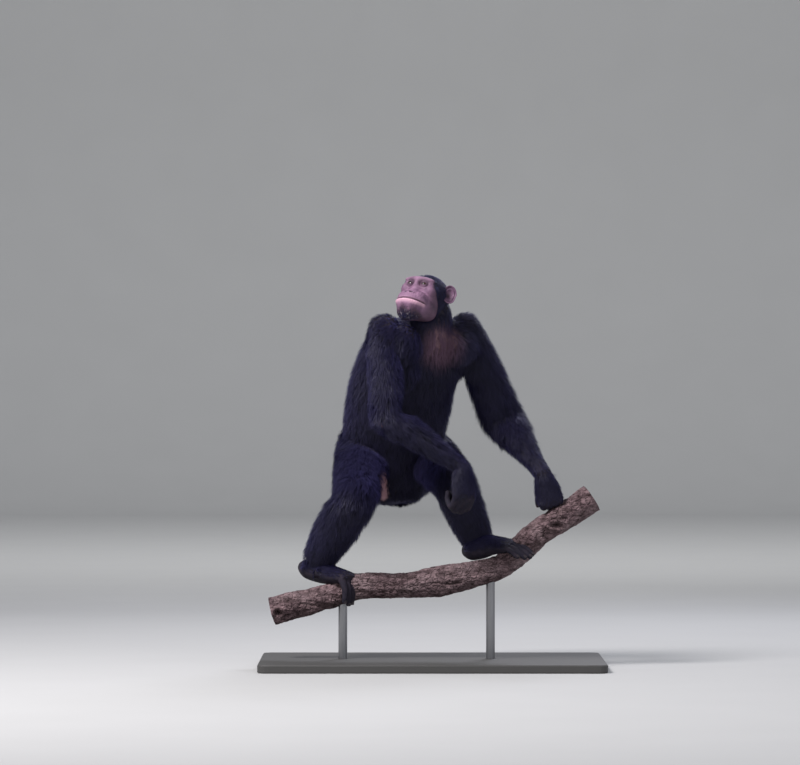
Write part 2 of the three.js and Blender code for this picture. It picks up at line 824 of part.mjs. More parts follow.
function earSolid(side) {
  const shell = ball(new THREE.Vector3(), [11, EAR.width, EAR.height], undefined, [12, 8]);
  const cup = ball(new THREE.Vector3(11, 2, 2), [13, EAR.width * 0.8, EAR.height * 0.82],
    undefined, [12, 6]);
  const rimStations = [];
  for (let i = 0; i <= 10; i++) {
    const angle = radians(-62 + i * 27.5);
    rimStations.push({
      at: new THREE.Vector3(2 + 1.5 * Math.sin(angle), EAR.width * 0.93 * Math.cos(angle),
        EAR.height * 0.93 * Math.sin(angle)),
      width: 4.2 - 0.16 * i,
      depth: 4.2 - 0.16 * i,
    });
  }
  const rim = new Form(rimStations, new THREE.Vector3(1, 0, 0)).solid(11, 5);
  const foldStations = [-60, -20, 30, 70].map(radians).map((angle) => ({
    at: new THREE.Vector3(-1, EAR.width * 0.5 * Math.cos(angle),
      4 + EAR.height * 0.52 * Math.sin(angle)),
    width: 3.2,
    depth: 3.6,
  }));
  const fold = new Form(foldStations, new THREE.Vector3(1, 0, 0)).solid(5, 5);
  const tab = ball(new THREE.Vector3(3, -EAR.width * 0.6, -5), [6, 7, 8], undefined, [8, 6]);
  const stem = ball(new THREE.Vector3(-7, -12, 0), [12, 18, 20], undefined, [10, 6]);
  const ear = union([shell.subtract(cup), rim, fold, tab, stem]).simplify(EAR.trim);
  const turn = new THREE.Matrix4().makeRotationZ(radians(90 - EAR.face));
  const lean = new THREE.Matrix4().makeRotationX(radians(EAR.lean));
  const place = new THREE.Matrix4()
    .makeTranslation(...EAR.at)
    .multiply(turn)
    .multiply(lean);
  const put = place.premultiply(new THREE.Matrix4().makeScale(1, side, 1));
  return transformed(ear, put);
}

function transformed(solid, matrix) {
  const geometry = geometryOf(solid);
  geometry.applyMatrix4(matrix);
  if (matrix.determinant() < 0) {
    const index = geometry.index.array;
    for (let i = 0; i < index.length; i += 3) [index[i], index[i + 1]] = [index[i + 1], index[i]];
  }
  return solidOf(geometry);
}

// Assembly: each piece is cut clear of what it grows from by the gap

const nodes = new Map();
const keep = (name, solid, colour) =>
  nodes.set(name, { solid: settled(solid), colour });
const formsOf = (forms) => union(forms.map((form, i) => (i ? form.solid(6, 5) : form.solid(6, 9))));

const branch = branchSolid();
const nearBranch = grown(branch);
const head = transformed(headSolid(), headPlace);
const nearHead = grown(transformed(skull(), headPlace));

const headHeart = HEAD_HEART.clone().applyMatrix4(headPlace);
const byHead = (marks) => marks.some((mark) => mark.distanceTo(headHeart) < 112);
const inTrunk = (marks) => marks.some((mark) => trunk.near(mark, 5));
const pairs = (set) => [set.left, set.right];
const furred = (form, rings, around, plan) =>
  union([form.solid(rings, around), ...plan.map((place) => lock(form, place))]);

const trunkPlan = lockPlan(trunk, {
  from: 0.27, to: 0.87, flow: -1, seed: 11, others: [...pairs(arms), ...pairs(legs)], skip: byHead,
});
const trunkSolid = settled(furred(trunk, 13, 14, trunkPlan).subtract(nearHead));
const nearTrunk = grown(trunk.solid(13, 14));
const [torso, neck] = partedAt(trunkSolid, trunk, NECK_START, 150);
keep('torso', torso, COLOURS.coat);
keep('neck', neck, COLOURS.coat);

for (const side of ['left', 'right']) {
  const { elbow, knee } = JOINTS[side];
  const armPlan = lockPlan(arms[side], {
    from: 0.06, to: 0.72, flow: 1, seed: 23, others: pairs(legs), skip: inTrunk,
  });
  const arm = settled(furred(arms[side], 10, 8, armPlan).subtract(union([nearTrunk, nearHead])));
  const [upperArm, forearm] = partedAt(arm, arms[side], elbow, 200);
  keep(`upper_arm_${side}`, upperArm, COLOURS.coat);
  keep(`forearm_${side}`, forearm, COLOURS.coat);

  const legPlan = lockPlan(legs[side], {
    from: 0.1, to: 0.74, flow: 1, seed: 43, others: [...pairs(arms), branchForm], skip: inTrunk,
  });
  const leg = settled(furred(legs[side], 10, 8, legPlan).subtract(union([nearTrunk, nearBranch])));
  const [thigh, shank] = partedAt(leg, legs[side], knee, 220);
  keep(`thigh_${side}`, thigh, COLOURS.coat);
  keep(`shank_${side}`, shank, COLOURS.coat);

  const hand = formsOf(HANDS[side]).subtract(union([grown(arm), arm, nearBranch]));
  keep(`hand_${side}`, hand, COLOURS.skin);
  const foot = formsOf(FEET[side]).subtract(union([grown(leg), leg, nearBranch]));
  keep(`foot_${side}`, foot, COLOURS.skin);

  const sign = side === 'left' ? 1 : -1;
  keep(`ear_${side}`, transformed(earSolid(sign), headPlace).subtract(nearHead), COLOURS.face);
  const eye = ball(onSide(EYE.at, sign), Array(3).fill(EYE.radius), undefined, [12, 8]);
  keep(`eye_${side}`, transformed(eye, headPlace), COLOURS.eye);
}
keep('head', head, COLOURS.face);
keep('perch', branch, COLOURS.bark);
keep('stand_base', baseSolid(), COLOURS.base);
ROD.places.forEach((x, i) => {
  keep(`stand_rod_${i + 1}`, rodSolid(x).subtract(nearBranch), COLOURS.rod);
});

const model = new THREE.Group();
for (const [name, { solid, colour }] of nodes) {
  const material = new THREE.MeshStandardMaterial({ color: colour, roughness: 0.8, metalness: 0 });
  const mesh = new THREE.Mesh(geometryOf(solid), material);
  mesh.name = name;
  model.add(mesh);
}

export default model;
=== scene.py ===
# %% [markdown]
# # A life-size model of a chimpanzee on a branch
#
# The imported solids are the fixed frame, and this script gives them their looks: one skin, a coat
# of mesh tufts, eyes, nails, bark and a plain stand. It could dress each solid on its own, but a
# seam would then show at every joint. So the forms below repeat the sizes of the solids in
# millimetres, and one skin made from them lies inside the solids by the depth of the coat.

# %% Load the solids
import bmesh
import bpy
import math
import numpy as np
from mathutils import Matrix, Vector, noise


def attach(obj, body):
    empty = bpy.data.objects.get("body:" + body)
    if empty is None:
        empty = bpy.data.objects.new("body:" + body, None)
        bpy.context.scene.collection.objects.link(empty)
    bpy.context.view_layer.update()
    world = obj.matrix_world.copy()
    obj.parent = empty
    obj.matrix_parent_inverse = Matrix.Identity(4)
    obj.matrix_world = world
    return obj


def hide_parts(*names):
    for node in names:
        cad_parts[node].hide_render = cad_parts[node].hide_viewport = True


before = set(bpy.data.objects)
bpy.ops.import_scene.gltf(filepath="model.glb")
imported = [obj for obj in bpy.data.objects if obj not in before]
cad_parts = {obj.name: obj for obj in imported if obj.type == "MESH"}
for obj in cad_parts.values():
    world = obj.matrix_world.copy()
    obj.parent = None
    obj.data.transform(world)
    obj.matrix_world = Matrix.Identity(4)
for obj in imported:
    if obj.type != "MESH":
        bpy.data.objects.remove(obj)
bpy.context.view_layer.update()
MM = 0.001
print("nodes", len(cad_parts))

# %% [markdown]
# ## Helpers for curves and closed grids
#
# An arm, a leg or a branch is a long bent shape that swells and narrows. It could be sculpted, or
# be a curve with a bevel. Here it is a form: elliptical rings strung along a smooth line, found by
# a share of the line and an angle round it, because hair can then be placed by the same two
# numbers. Every function takes whole arrays, so that thousands of points cost no more than one.

# %% Curves and forms
def unit(v):
    return v / np.maximum(np.linalg.norm(v, axis=-1, keepdims=True), 1e-9)


def smooth_min(a, b, blend):
    overlap = np.maximum(blend - np.abs(a - b), 0) / blend
    return np.minimum(a, b) - overlap**2 * blend / 4


def ease(low, high, x):
    """0 below low, 1 above high, smooth between them; low may be the higher one."""
    t = np.clip((x - low) / (high - low), 0, 1)
    return t * t * (3 - 2 * t)


def bump(x, width):
    return np.exp(-((x / width) ** 2))


def spline(rows, count, centripetal):
    """Points of a smooth curve through the rows."""
    rows = np.asarray(rows, float)
    ends = np.vstack([2 * rows[0] - rows[1], rows, 2 * rows[-1] - rows[-2]])
    t = np.linspace(0, len(rows) - 1, count)
    i = np.minimum(t.astype(int), len(rows) - 2)
    w = (t - i)[:, None]
    p0, p1, p2, p3 = (ends[i + k] for k in range(4))
    if centripetal:
        d0, d1, d2 = (np.maximum(np.sum((b - a) ** 2, 1) ** 0.25, 1e-6)[:, None]
                      for a, b in ((p0, p1), (p1, p2), (p2, p3)))
    else:
        d0 = d1 = d2 = np.ones_like(w)
    m1 = ((p1 - p0) / d0 - (p2 - p0) / (d0 + d1) + (p2 - p1) / d1) * d1
    m2 = ((p2 - p1) / d1 - (p3 - p1) / (d1 + d2) + (p3 - p2) / d2) * d1
    return p1 + m1 * w + (3 * (p2 - p1) - 2 * m1 - m2) * w**2 + (2 * (p1 - p2) + m1 + m2) * w**3


def circle(count):
    return np.linspace(0, 2 * math.pi, count, endpoint=False)


def grid_quads(rows, columns, wrap_rows=False, wrap_columns=False):
    """Corners of the quads between the points of a grid, which closes on itself where it wraps."""
    i, j = np.meshgrid(np.arange(rows - (not wrap_rows)), np.arange(columns - (not wrap_columns)),
                       indexing="ij")
    below, right = (i + 1) % rows * columns, (j + 1) % columns
    quads = np.stack([i * columns + j, i * columns + right, below + right, below + j], -1)
    return quads.reshape(-1, 4)


def closed_grid(grid, first, last):
    """A closed shape from rings of points (rings, sides, 3) and a point at each end."""
    rings, sides = grid.shape[:2]
    points = np.vstack([grid.reshape(-1, 3), first, last])
    j, k = np.arange(sides), (np.arange(sides) + 1) % sides
    end = (rings - 1) * sides
    caps = np.vstack([np.stack([k, j, np.full(sides, len(points) - 2)], 1),
                      np.stack([end + j, end + k, np.full(sides, len(points) - 1)], 1)])
    return points, [grid_quads(rings, sides, wrap_columns=True), caps]


def ball(centre, radii, rings=20, sides=28):
    rise = np.linspace(-math.pi / 2, math.pi / 2, rings + 2)[1:-1, None]
    turn = circle(sides)[None]
    grid = np.stack([np.cos(rise) * np.cos(turn), np.cos(rise) * np.sin(turn),
                     np.sin(rise) + 0 * turn], -1)
    centre, radii = np.asarray(centre, float), np.asarray(radii, float)
    top = np.array([0, 0, radii[2]])
    return closed_grid(centre + grid * radii, centre - top, centre + top)


FORM_STEPS = 240


class Form:
    """Rows of x, y, z, half width, half depth and coat, a vector across, and soft masses."""

    def __init__(self, rows, side, masses=(), swell=34):
        rows = np.asarray(rows, float)
        line, girth = spline(rows[:, :3], 600, True), spline(rows[:, 3:], 600, False)
        way = np.concatenate([[0], np.cumsum(np.linalg.norm(np.diff(line, axis=0), axis=1))])
        self.length, self.masses, self.swell = way[-1], masses, swell
        even = np.linspace(0, self.length, FORM_STEPS + 1)
        respace = lambda table: np.stack([np.interp(even, way, column) for column in table.T], 1)
        self.centre, self.girth = respace(line), respace(girth)
        self.along = unit(np.gradient(self.centre, axis=0))
        side = np.asarray(side, float)
        self.across = unit(side - self.along * (self.along @ side)[:, None])
        self.out = np.cross(self.along, self.across)

    def pick(self, table, u):
        place = np.clip(u, 0, 1) * (len(table) - 1)
        i = np.minimum(place.astype(int), len(table) - 2)
        w = (place - i)[..., None]
        return table[i] * (1 - w) + table[i + 1] * w

    def at(self, u, a, h=0.0):
        """The flesh's surface at share u and angle a, raised by h."""
        u, a = np.broadcast_arrays(np.asarray(u, float), np.asarray(a, float))
        centre, girth = self.pick(self.centre, u), self.pick(self.girth, u)
        ray = (self.pick(self.across, u) * (np.cos(a) * girth[..., 0])[..., None]
               + self.pick(self.out, u) * (np.sin(a) * girth[..., 1])[..., None])
        reach = np.linalg.norm(ray, axis=-1)
        ray = unit(ray)
        for middle, size in self.masses:
            start, step = (centre - middle) / size, ray / size
            p, q = np.sum(step * step, -1), np.sum(start * step, -1)
            inside = q * q - p * (np.sum(start * start, -1) - 1)
            leaves = np.where(inside < 0, 0, (np.sqrt(np.maximum(inside, 0)) - q) / p)
            reach = -smooth_min(-reach, -leaves, self.swell)
        return centre + ray * (reach - girth[..., 2] + h)[..., None]

    def tube(self, rings, sides):
        u = np.linspace(0, 1, rings)[:, None]
        return closed_grid(self.at(u, circle(sides)[None]), self.centre[0], self.centre[-1])

    def nearest(self, points):
        """Share, angle and how many radii out each point lies, out to past the ends."""
        best = np.empty(len(points), int)
        for start in range(0, len(points), 20000):
            part = points[start:start + 20000]
            far = np.sum(self.centre**2, 1)[None] - 2 * part @ self.centre.T
            best[start:start + 20000] = far.argmin(1)
        offset = points - self.centre[best]
        width, depth = self.girth[best, 0], self.girth[best, 1]
        x = np.sum(offset * self.across[best], 1) / width
        y = np.sum(offset * self.out[best], 1) / depth
        past = np.sum(offset * self.along[best], 1)
        u = best / (len(self.centre) - 1) + past / self.length
        return u, np.arctan2(y, x), np.hypot(x, y) + np.abs(past) / 60


# %% [markdown]
# ## The forms of the body
#
# An ape has long arms, short legs, a deep trunk, and hands and feet that grip. A few measured
# stations with smooth curves between them give such soft shapes with little to keep in mind. The
# tables are those of the solids: joints, girths along each limb, and soft masses of the trunk.

# %% Body forms
JOINTS = {  # shoulder, elbow and wrist, then hip, knee and ankle
    "right": ((-138, -112, 974), (-132, -205, 738), (86, -176, 590),
              (-196, 132, 636), (-226, -85, 497), (-334, 48, 318)),
    "left": ((104, 0, 976), (206, 96, 738), (326, -28, 566),
             (-14, 192, 630), (59, -38, 550), (134, 66, 372)),
}
TRUNK = [  # x, y, z, half width, half depth, coat
    (-98, 166, 486, 66, 56, 4), (-106, 178, 540, 118, 98, 16), (-108, 168, 620, 148, 118, 19),
    (-110, 130, 697, 162, 122, 19), (-98, 84, 770, 167, 126, 19), (-80, 34, 850, 168, 122, 20),
    (-46, -14, 926, 166, 110, 21), (-20, -44, 978, 126, 86, 16), (-8, -66, 1018, 78, 70, 10),
    (-2, -84, 1050, 60, 60, 4), (-4, -94, 1078, 38, 38, 2),
]
MASSES = [  # centre and radii of the shoulder blades and buttocks
    ((-118, -30, 930), (78, 72, 86)), ((48, 20, 936), (76, 70, 82)),
    ((-178, 200, 590), (76, 80, 88)), ((-46, 238, 592), (74, 78, 88)),
]
ARM_GIRTH = {  # share (1 is the elbow, 2 the wrist), half width, half depth, coat
    "right": [(-0.2, 44, 44, 8), (0, 64, 66, 19), (0.3, 62, 62, 20), (0.65, 58, 56, 19),
              (1, 54, 54, 18), (1.25, 52, 52, 18), (1.55, 44, 44, 15), (1.82, 31, 33, 7),
              (2.06, 24, 30, 2)],
    "left": [(-0.2, 46, 44, 8), (0, 65, 64, 19), (0.3, 68, 62, 21), (0.65, 71, 60, 22),
             (1, 74, 58, 22), (1.25, 66, 54, 21), (1.5, 49, 46, 15), (1.75, 33, 36, 7),
             (2.04, 27, 28, 2)],
}
LEG_GIRTH = {  # share (1 is the knee, 2 the ankle), half width, half depth, coat
    "right": [(-0.25, 76, 74, 8), (0, 94, 90, 18), (0.35, 90, 84, 18), (0.7, 81, 78, 18),
              (1, 74, 72, 18), (1.25, 73, 67, 17), (1.5, 72, 62, 16), (1.75, 63, 55, 12),
              (2.04, 50, 46, 4)],
    "left": [(-0.25, 70, 72, 8), (0, 84, 86, 18), (0.35, 82, 82, 18), (0.7, 77, 76, 18),
             (1, 72, 72, 17), (1.25, 70, 66, 16), (1.5, 67, 60, 15), (1.75, 60, 54, 11),
             (2.04, 48, 44, 4)],
}
ARM_SIDE = {"right": (0.55, -0.2, 0.8), "left": (0.85, 0.1, 0.5)}
LEG_SIDE = {"right": (0.9, 0.1, -0.4), "left": (0.9, 0.3, 0.3)}


def limb(root, bend, end, girth, side):
    root, bend, end = (np.array(p, float) for p in (root, bend, end))
    rows = []
    for share, *size in girth:
        near, far, s = (root, bend, share) if share <= 1 else (bend, end, share - 1)
        rows.append([*(near + (far - near) * s), *size])
    return Form(rows, side)


TRUNK_TURN = math.radians(22)
FORMS = {"trunk": Form(TRUNK, (math.cos(TRUNK_TURN), math.sin(TRUNK_TURN), 0), MASSES)}
for side, (shoulder, elbow, wrist, hip, knee, ankle) in JOINTS.items():
    FORMS[f"arm_{side}"] = limb(shoulder, elbow, wrist, ARM_GIRTH[side], ARM_SIDE[side])
    FORMS[f"leg_{side}"] = limb(hip, knee, ankle, LEG_GIRTH[side], LEG_SIDE[side])
print({name: round(form.length) for name, form in FORMS.items()})

# %% [markdown]
# A hand or a foot is a flat palm or sole with five bent digits. Each digit starts at a knuckle and
# turns about one axis at each joint, as a finger does, so that a grip is only a few angles.

# %% Hands and feet
def turned(v, axis, degrees):
    return np.array(Matrix.Rotation(math.radians(degrees), 3, Vector(axis)) @ Vector(v))


ROOT_SUNK, TIP_PAST = 1.6, 0.55  # how far a digit reaches past its joints, in its radii
DIGIT_SIZES = (0.95, 1.08, 0.98, 0.9, 0.78, 0.34)


def digit(knuckle, along, axis, bones, bends, radius):
    points = [knuckle - along * radius * ROOT_SUNK, knuckle]
    for length, bend in zip(bones, bends):
        along = turned(along, axis, bend)
        points.append(points[-1] + along * length)
    points.append(points[-1] + along * radius * TIP_PAST)
    sizes = DIGIT_SIZES[-len(points):]
    return Form([[*p, radius * s, radius * s, 0] for p, s in zip(points, sizes)], axis)


def extremity(stations, along, across, palm, knuckles, digits, thumb):
    """The palm or sole, then four digits, then the thumb or big toe."""
    forms = [Form([[*p, w, d, 0] for p, w, d in stations], across)]
    closing = unit(np.cross(along, palm))
    for offset, back, bones, bends, radius in digits:
        forms.append(digit(knuckles + across * offset + along * back, along, closing,
                           bones, bends, radius))
    return forms + [digit(*thumb)]


OFFSETS, REACH = (26, 9, -9, -25), (0.93, 1.04, 1, 0.84)
FINGER_BONES, TOE_BONES = (50, 36, 24), (34, 25, 19)


def hand(wrist, along, palm, thumb_side, bends, thumb_bends):
    wrist, along, palm = np.array(wrist, float), unit(np.array(along)), unit(np.array(palm))
    across = unit(np.cross(along, palm)) * thumb_side
    stations = [(wrist + along * s, w, d) for s, w, d in
                ((-14, 22, 18), (6, 27, 20), (40, 35, 18), (78, 38, 15), (96, 33, 10))]
    digits = [(offset, -abs(i - 1.4) * 3, [b * REACH[i] for b in FINGER_BONES], bends,
               9.5 if i == 3 else 11) for i, offset in enumerate(OFFSETS)]
    thumb = (wrist + along * 26 + across * 23 + palm * 6, unit(along * 0.95 + across * 0.28),
             unit(np.cross(along, palm)), (34, 26), thumb_bends, 10)
    return extremity(stations, along, across, palm, wrist + along * 88, digits, thumb)


def foot(line, sole, toe_side, bends, big_way, big_axis, big_bends):
    heel, instep, toes = (np.array(p, float) for p in line)
    sole, along = unit(np.array(sole)), unit(toes - instep)
    across = unit(np.cross(along, sole)) * toe_side
    stations = [(heel + (instep - heel) * s, w, d) for s, w, d in
                ((-0.42, 14, 14), (-0.22, 25, 25), (0, 31, 31), (0.55, 33, 32), (1, 37, 28))]
    stations += [(toes, 38, 18), (instep + (toes - instep) * 1.25, 32, 9)]
    digits = [(offset * 0.98, -i * 3, [b * REACH[i] for b in TOE_BONES], bends,
               8.8 if i == 3 else 10) for i, offset in enumerate(OFFSETS)]
    big = (heel + (instep - heel) * 0.9 + across * 24, unit(np.array(big_way)),
           unit(np.array(big_axis)), (42, 28), big_bends, 13)
    return extremity(stations, along, across, sole, toes, digits, big)


PALM_WAYS = {"hand_right": (-0.5, 0.86, -0.1), "hand_left": (0.05, 0.99, 0.03),
             "foot_right": (0.1, -0.1, -0.99), "foot_left": (0.16, 0.1, -0.98)}
EXTREMITIES = {
    "hand_right": hand(JOINTS["right"][2], (0.06, -0.22, -0.97), PALM_WAYS["hand_right"], 1,
                       (48, 92, 50), (16, 30)),
    "hand_left": hand(JOINTS["left"][2], (0.28, 0.02, -0.96), PALM_WAYS["hand_left"], -1,
                      (80, 88, 55), (4, 30)),
    "foot_right": foot([(-362, 66, 286), (-302, 18, 270), (-252, -30, 263)],
                       PALM_WAYS["foot_right"], -1, (48, 30, 14),
                       (0.86, -0.1, -0.1), (0.2, 0.95, 0), (26, 34)),
    "foot_left": foot([(118, 44, 342), (172, 8, 355), (222, -36, 357)], PALM_WAYS["foot_left"],
                      1, (14, 14, 12), (0.82, -0.52, -0.24), (0.85, 0.5, 0), (-12, -30)),
}
print({name: len(forms) for name, forms in EXTREMITIES.items()})

# %% [markdown]
# ## From arrays to meshes and back
#
# Flesh flows from the trunk into a limb with no edge. Boolean unions would leave creases there.
# Overlapping tubes are fused by a voxel remesh and smoothed instead, which rounds the armpits and
# the groin. Whole arrays go into a mesh and out of it, because loops over points are slow.

# %% Meshes and arrays
def make_mesh(name, points, polygons):
    """A mesh from points in metres and a list of arrays of corners."""
    mesh = bpy.data.meshes.new(name)
    corners = np.concatenate([p.ravel() for p in polygons]).astype(np.int32)
    sizes = np.concatenate([np.full(len(p), p.shape[1]) for p in polygons])
    mesh.vertices.add(len(points))
    mesh.vertices.foreach_set("co", np.asarray(points, np.float32).ravel())
    mesh.loops.add(len(corners))
    mesh.loops.foreach_set("vertex_index", corners)
    mesh.polygons.add(len(sizes))
    starts = np.concatenate([[0], np.cumsum(sizes)[:-1]]).astype(np.int32)
    mesh.polygons.foreach_set("loop_start", starts)
    mesh.update(calc_edges=True)
    return mesh


def add_object(name, mesh, *materials, smooth=True):
    made = bpy.data.objects.new(name, mesh)
    bpy.context.scene.collection.objects.link(made)
    for material in materials:
        mesh.materials.append(material)
    mesh.polygons.foreach_set("use_smooth", np.full(len(mesh.polygons), smooth))
    return made


def add_values(mesh, **fields):
    """Give a mesh one number for each point under each name."""
    for name, values in fields.items():
        layer = mesh.attributes.new(name, "FLOAT", "POINT")
        layer.data.foreach_set("value", np.asarray(values, np.float32))


def joined(parts):
    points, polygons, count = [], [], 0
    for some, groups in parts:
        points.append(some)
        polygons += [group + count for group in groups]
        count += len(some)
    return np.vstack(points), polygons


def arrays(mesh):
    """Points and polygons by size of a mesh."""
    points = np.empty(len(mesh.vertices) * 3, np.float32)
    mesh.vertices.foreach_get("co", points)
    corners = np.empty(len(mesh.loops), np.int32)
    mesh.loops.foreach_get("vertex_index", corners)
    sizes = np.empty(len(mesh.polygons), np.int32)
    mesh.polygons.foreach_get("loop_total", sizes)
    starts = np.empty(len(mesh.polygons), np.int32)
    mesh.polygons.foreach_get("loop_start", starts)
    polygons = [corners[starts[sizes == n][:, None] + np.arange(n)] for n in np.unique(sizes)]
    return points.reshape(-1, 3).astype(float), polygons


def fused(parts, voxel, passes):
    """One closed surface round all the parts, in millimetres."""
    points, polygons = joined(parts)
    made = add_object("fusing", make_mesh("fusing", points * MM, polygons))
    remesh = made.modifiers.new("voxels", "REMESH")
    remesh.mode, remesh.voxel_size = "VOXEL", voxel * MM
    soften = made.modifiers.new("soften", "SMOOTH")
    soften.factor, soften.iterations = 0.5, passes
    shown = made.evaluated_get(bpy.context.evaluated_depsgraph_get())
    points, polygons = arrays(shown.data)
    bpy.data.objects.remove(made)
    return points / MM, polygons


def triangles(polygons):
    return np.vstack([group[:, [0, i, i + 1]] for group in polygons
                      for i in range(1, group.shape[1] - 1)])


def normals_of(points, polygons):
    tris = triangles(polygons)
    a, b, c = (points[tris[:, i]] for i in range(3))
    facing = np.cross(b - a, c - a)
    total = np.stack([np.bincount(tris.ravel(), np.repeat(facing[:, i], 3), len(points))
                      for i in range(3)], 1)
    return unit(total)


def eased_field(field, polygons, passes):
    """A field on a mesh's points, evened out along its edges."""
    tris = triangles(polygons)
    a, b = np.concatenate([tris[:, :2], tris[:, 1:], tris[:, ::2]]).T
    count = np.bincount(a, minlength=len(field)) + np.bincount(b, minlength=len(field)) + 1
    for _ in range(passes):
        spread = [np.bincount(a, field[b, i], len(field)) + np.bincount(b, field[a, i], len(field))
                  for i in range(field.shape[1])]
        field = (np.stack(spread, 1) + field) / count[:, None]
    return field


def fractal(points, scale, octaves=3):
    """Smooth noise between about -1 and 1 whose bumps are about one scale wide."""
    return np.array([noise.fractal(Vector(p), 0.9, 2.1, octaves) for p in points / scale])


# %% [markdown]
# ## The head
#
# The skull has a strong brow over deep sockets, a flat nose and a broad muzzle. A voxel remesh
# would lose such fine forms, so the head is found outward from its heart: along each direction
# the surface is where a smooth blend of rounded masses ends. Folds, lips, nostrils and lids are
# then raised on it, because each is only a height at a known place.

# %% Head surface
HEAD_CENTRE, HEAD_SCALE = np.array([-18.0, -108, 1081]), 0.87
HEAD_TURN, HEAD_TILT, HEAD_ROLL = 26, 27, -4.5
HEAD_MASSES = [  # centre, radii, and whether it has a twin on the other side
    ((-14, 0, 28), (80, 64, 54), False), ((-48, 0, -4), (46, 58, 52), False),
    ((14, 40, 2), (54, 30, 54), True), ((48, 0, 0), (40, 56, 42), False),
    ((68, 28, 30), (18, 29, 9), True), ((78, 0, 29), (12, 26, 8), False),
    ((58, 46, 0), (24, 18, 20), True), ((70, 0, -52), (47, 43, 28), False),
    ((86, 24, -47), (29, 25, 25), True),
    ((98, 0, -54), (34, 37, 17), False), ((98, 0, -74), (34, 45, 24), False),
    ((78, 0, -94), (34, 44, 26), False), ((80, 0, 5), (16, 12, 24), False),
    ((91, 0, -28), (15, 18, 11), False), ((34, 34, -58), (52, 28, 34), True),
    ((52, 22, -78), (42, 28, 27), True), ((20, 0, -50), (48, 44, 38), False),
]
MASS_BLEND, SOCKET_BLEND = 15, 9
SOCKET_AT, SOCKET_SIZE = (97, 26, 11), (22, 16, 10)
HEART = np.array([32.0, 0, -12])
EYE_AT, EYE_RADIUS = np.array([76.0, 24.5, 11]), 13.0
NOSTRIL_AT = np.array([104.0, 6.0, -34])

HEAD_AXES = np.array((Matrix.Rotation(math.radians(-90 - HEAD_TURN), 3, "Z")
                      @ Matrix.Rotation(math.radians(-HEAD_TILT), 3, "Y")
                      @ Matrix.Rotation(math.radians(HEAD_ROLL), 3, "X")))


def head_to_model(points):
    return points @ HEAD_AXES.T * HEAD_SCALE + HEAD_CENTRE


def mirrored(place, side):
    return place * np.array([1, side, 1])


def ellipsoid_distance(p, at, size):
    q = (p - at) / size
    near = np.linalg.norm(q, axis=-1)
    return near * (near - 1) / np.maximum(np.linalg.norm(q / size, axis=-1), 1e-9)


def head_distance(p):
    distance = np.full(len(p), 1e3)
    for at, size, twin in HEAD_MASSES:
        for s in (1, -1) if twin else (1,):
            away = ellipsoid_distance(p, mirrored(at, s), size)
            distance = smooth_min(distance, away, MASS_BLEND)
    for s in (1, -1):
        away = ellipsoid_distance(p, mirrored(SOCKET_AT, s), SOCKET_SIZE)
        distance = -smooth_min(-distance, away, SOCKET_BLEND)
    return distance


def head_surface(ways):
    """Where the head's surface lies in each direction from its heart, found step by step."""
    reach = np.full(len(ways), 160.0)
    for _ in range(26):
        reach -= 0.85 * head_distance(HEART + ways * reach[:, None])
    return HEART + ways * reach[:, None]


ico = bmesh.new()
bmesh.ops.create_icosphere(ico, subdivisions=7, radius=1)
ico_mesh = bpy.data.meshes.new("ico")
ico.to_mesh(ico_mesh)
ways, head_polygons = arrays(ico_mesh)
ways = unit(ways + np.array([0.55, 0, 0]))
head = head_surface(ways)
print("head", len(head), np.round(np.ptp(head, axis=0)))

# %% [markdown]
# The lips meet in a long line that sags a little at its corners, with folds under the eyes and
# beside the nose. Each is a soft bump or groove along a line or ring, not modelled by hand, so
# that its depth and width stay plain numbers.

# %% Mouth and folds
def raise_by(points, height):
    return points + normals_of(points, head_polygons) * height[:, None]


MOUTH_REACH, MOUTH_LEVEL, MOUTH_DROOP = math.radians(56), -0.53, 0.03
angle = np.arctan2(ways[:, 1] / 0.72, ways[:, 0])
share = angle / MOUTH_REACH
mouth_level = (MOUTH_LEVEL - MOUTH_DROOP * share**2) * (head[:, 0] - HEART[0]) / np.cos(angle)
above_mouth = head[:, 2] - HEART[2] - mouth_level
front = ease(0.05, 0.3, ways[:, 0]) * ease(1.08, 0.9, np.abs(share))
lips = front * (1.5 * bump(above_mouth - 5.5, 4) + 2.2 * bump(above_mouth + 5.5, 4.5))
groove = -5 * front * bump(above_mouth, 1.7)
folds = np.zeros(len(head))
for s in (1, -1):
    from_eye = (head - mirrored(EYE_AT, s))[:, 1:] * [1, 1.25]
    round_eye = np.linalg.norm(from_eye, axis=1)
    below = ease(4, -8, from_eye[:, 1])
    folds += 0.5 * np.sin(round_eye * 2 * math.pi / 5) * bump(round_eye - 22, 8) * below
    folds += 0.9 * bump(round_eye - 19, 3.5) * below
    crease = bump(head[:, 1] * s - 21 + (26 + head[:, 2]) * 0.45, 2.4) * front
    folds -= 0.8 * crease * ease(-66, -50, head[:, 2]) * ease(-8, -20, head[:, 2])
muzzle = front * ease(-12, -26, head[:, 2])
folds += 0.28 * muzzle * np.sin(head[:, 1] * 0.9 + 2 * np.sin(head[:, 2] * 0.2))
head = raise_by(head, np.where(ways[:, 0] > -0.2, lips + folds, 0))
head = raise_by(head, groove)
print("folds", round(float(folds.min()), 2), "to", round(float(folds.max()), 2), "mm")
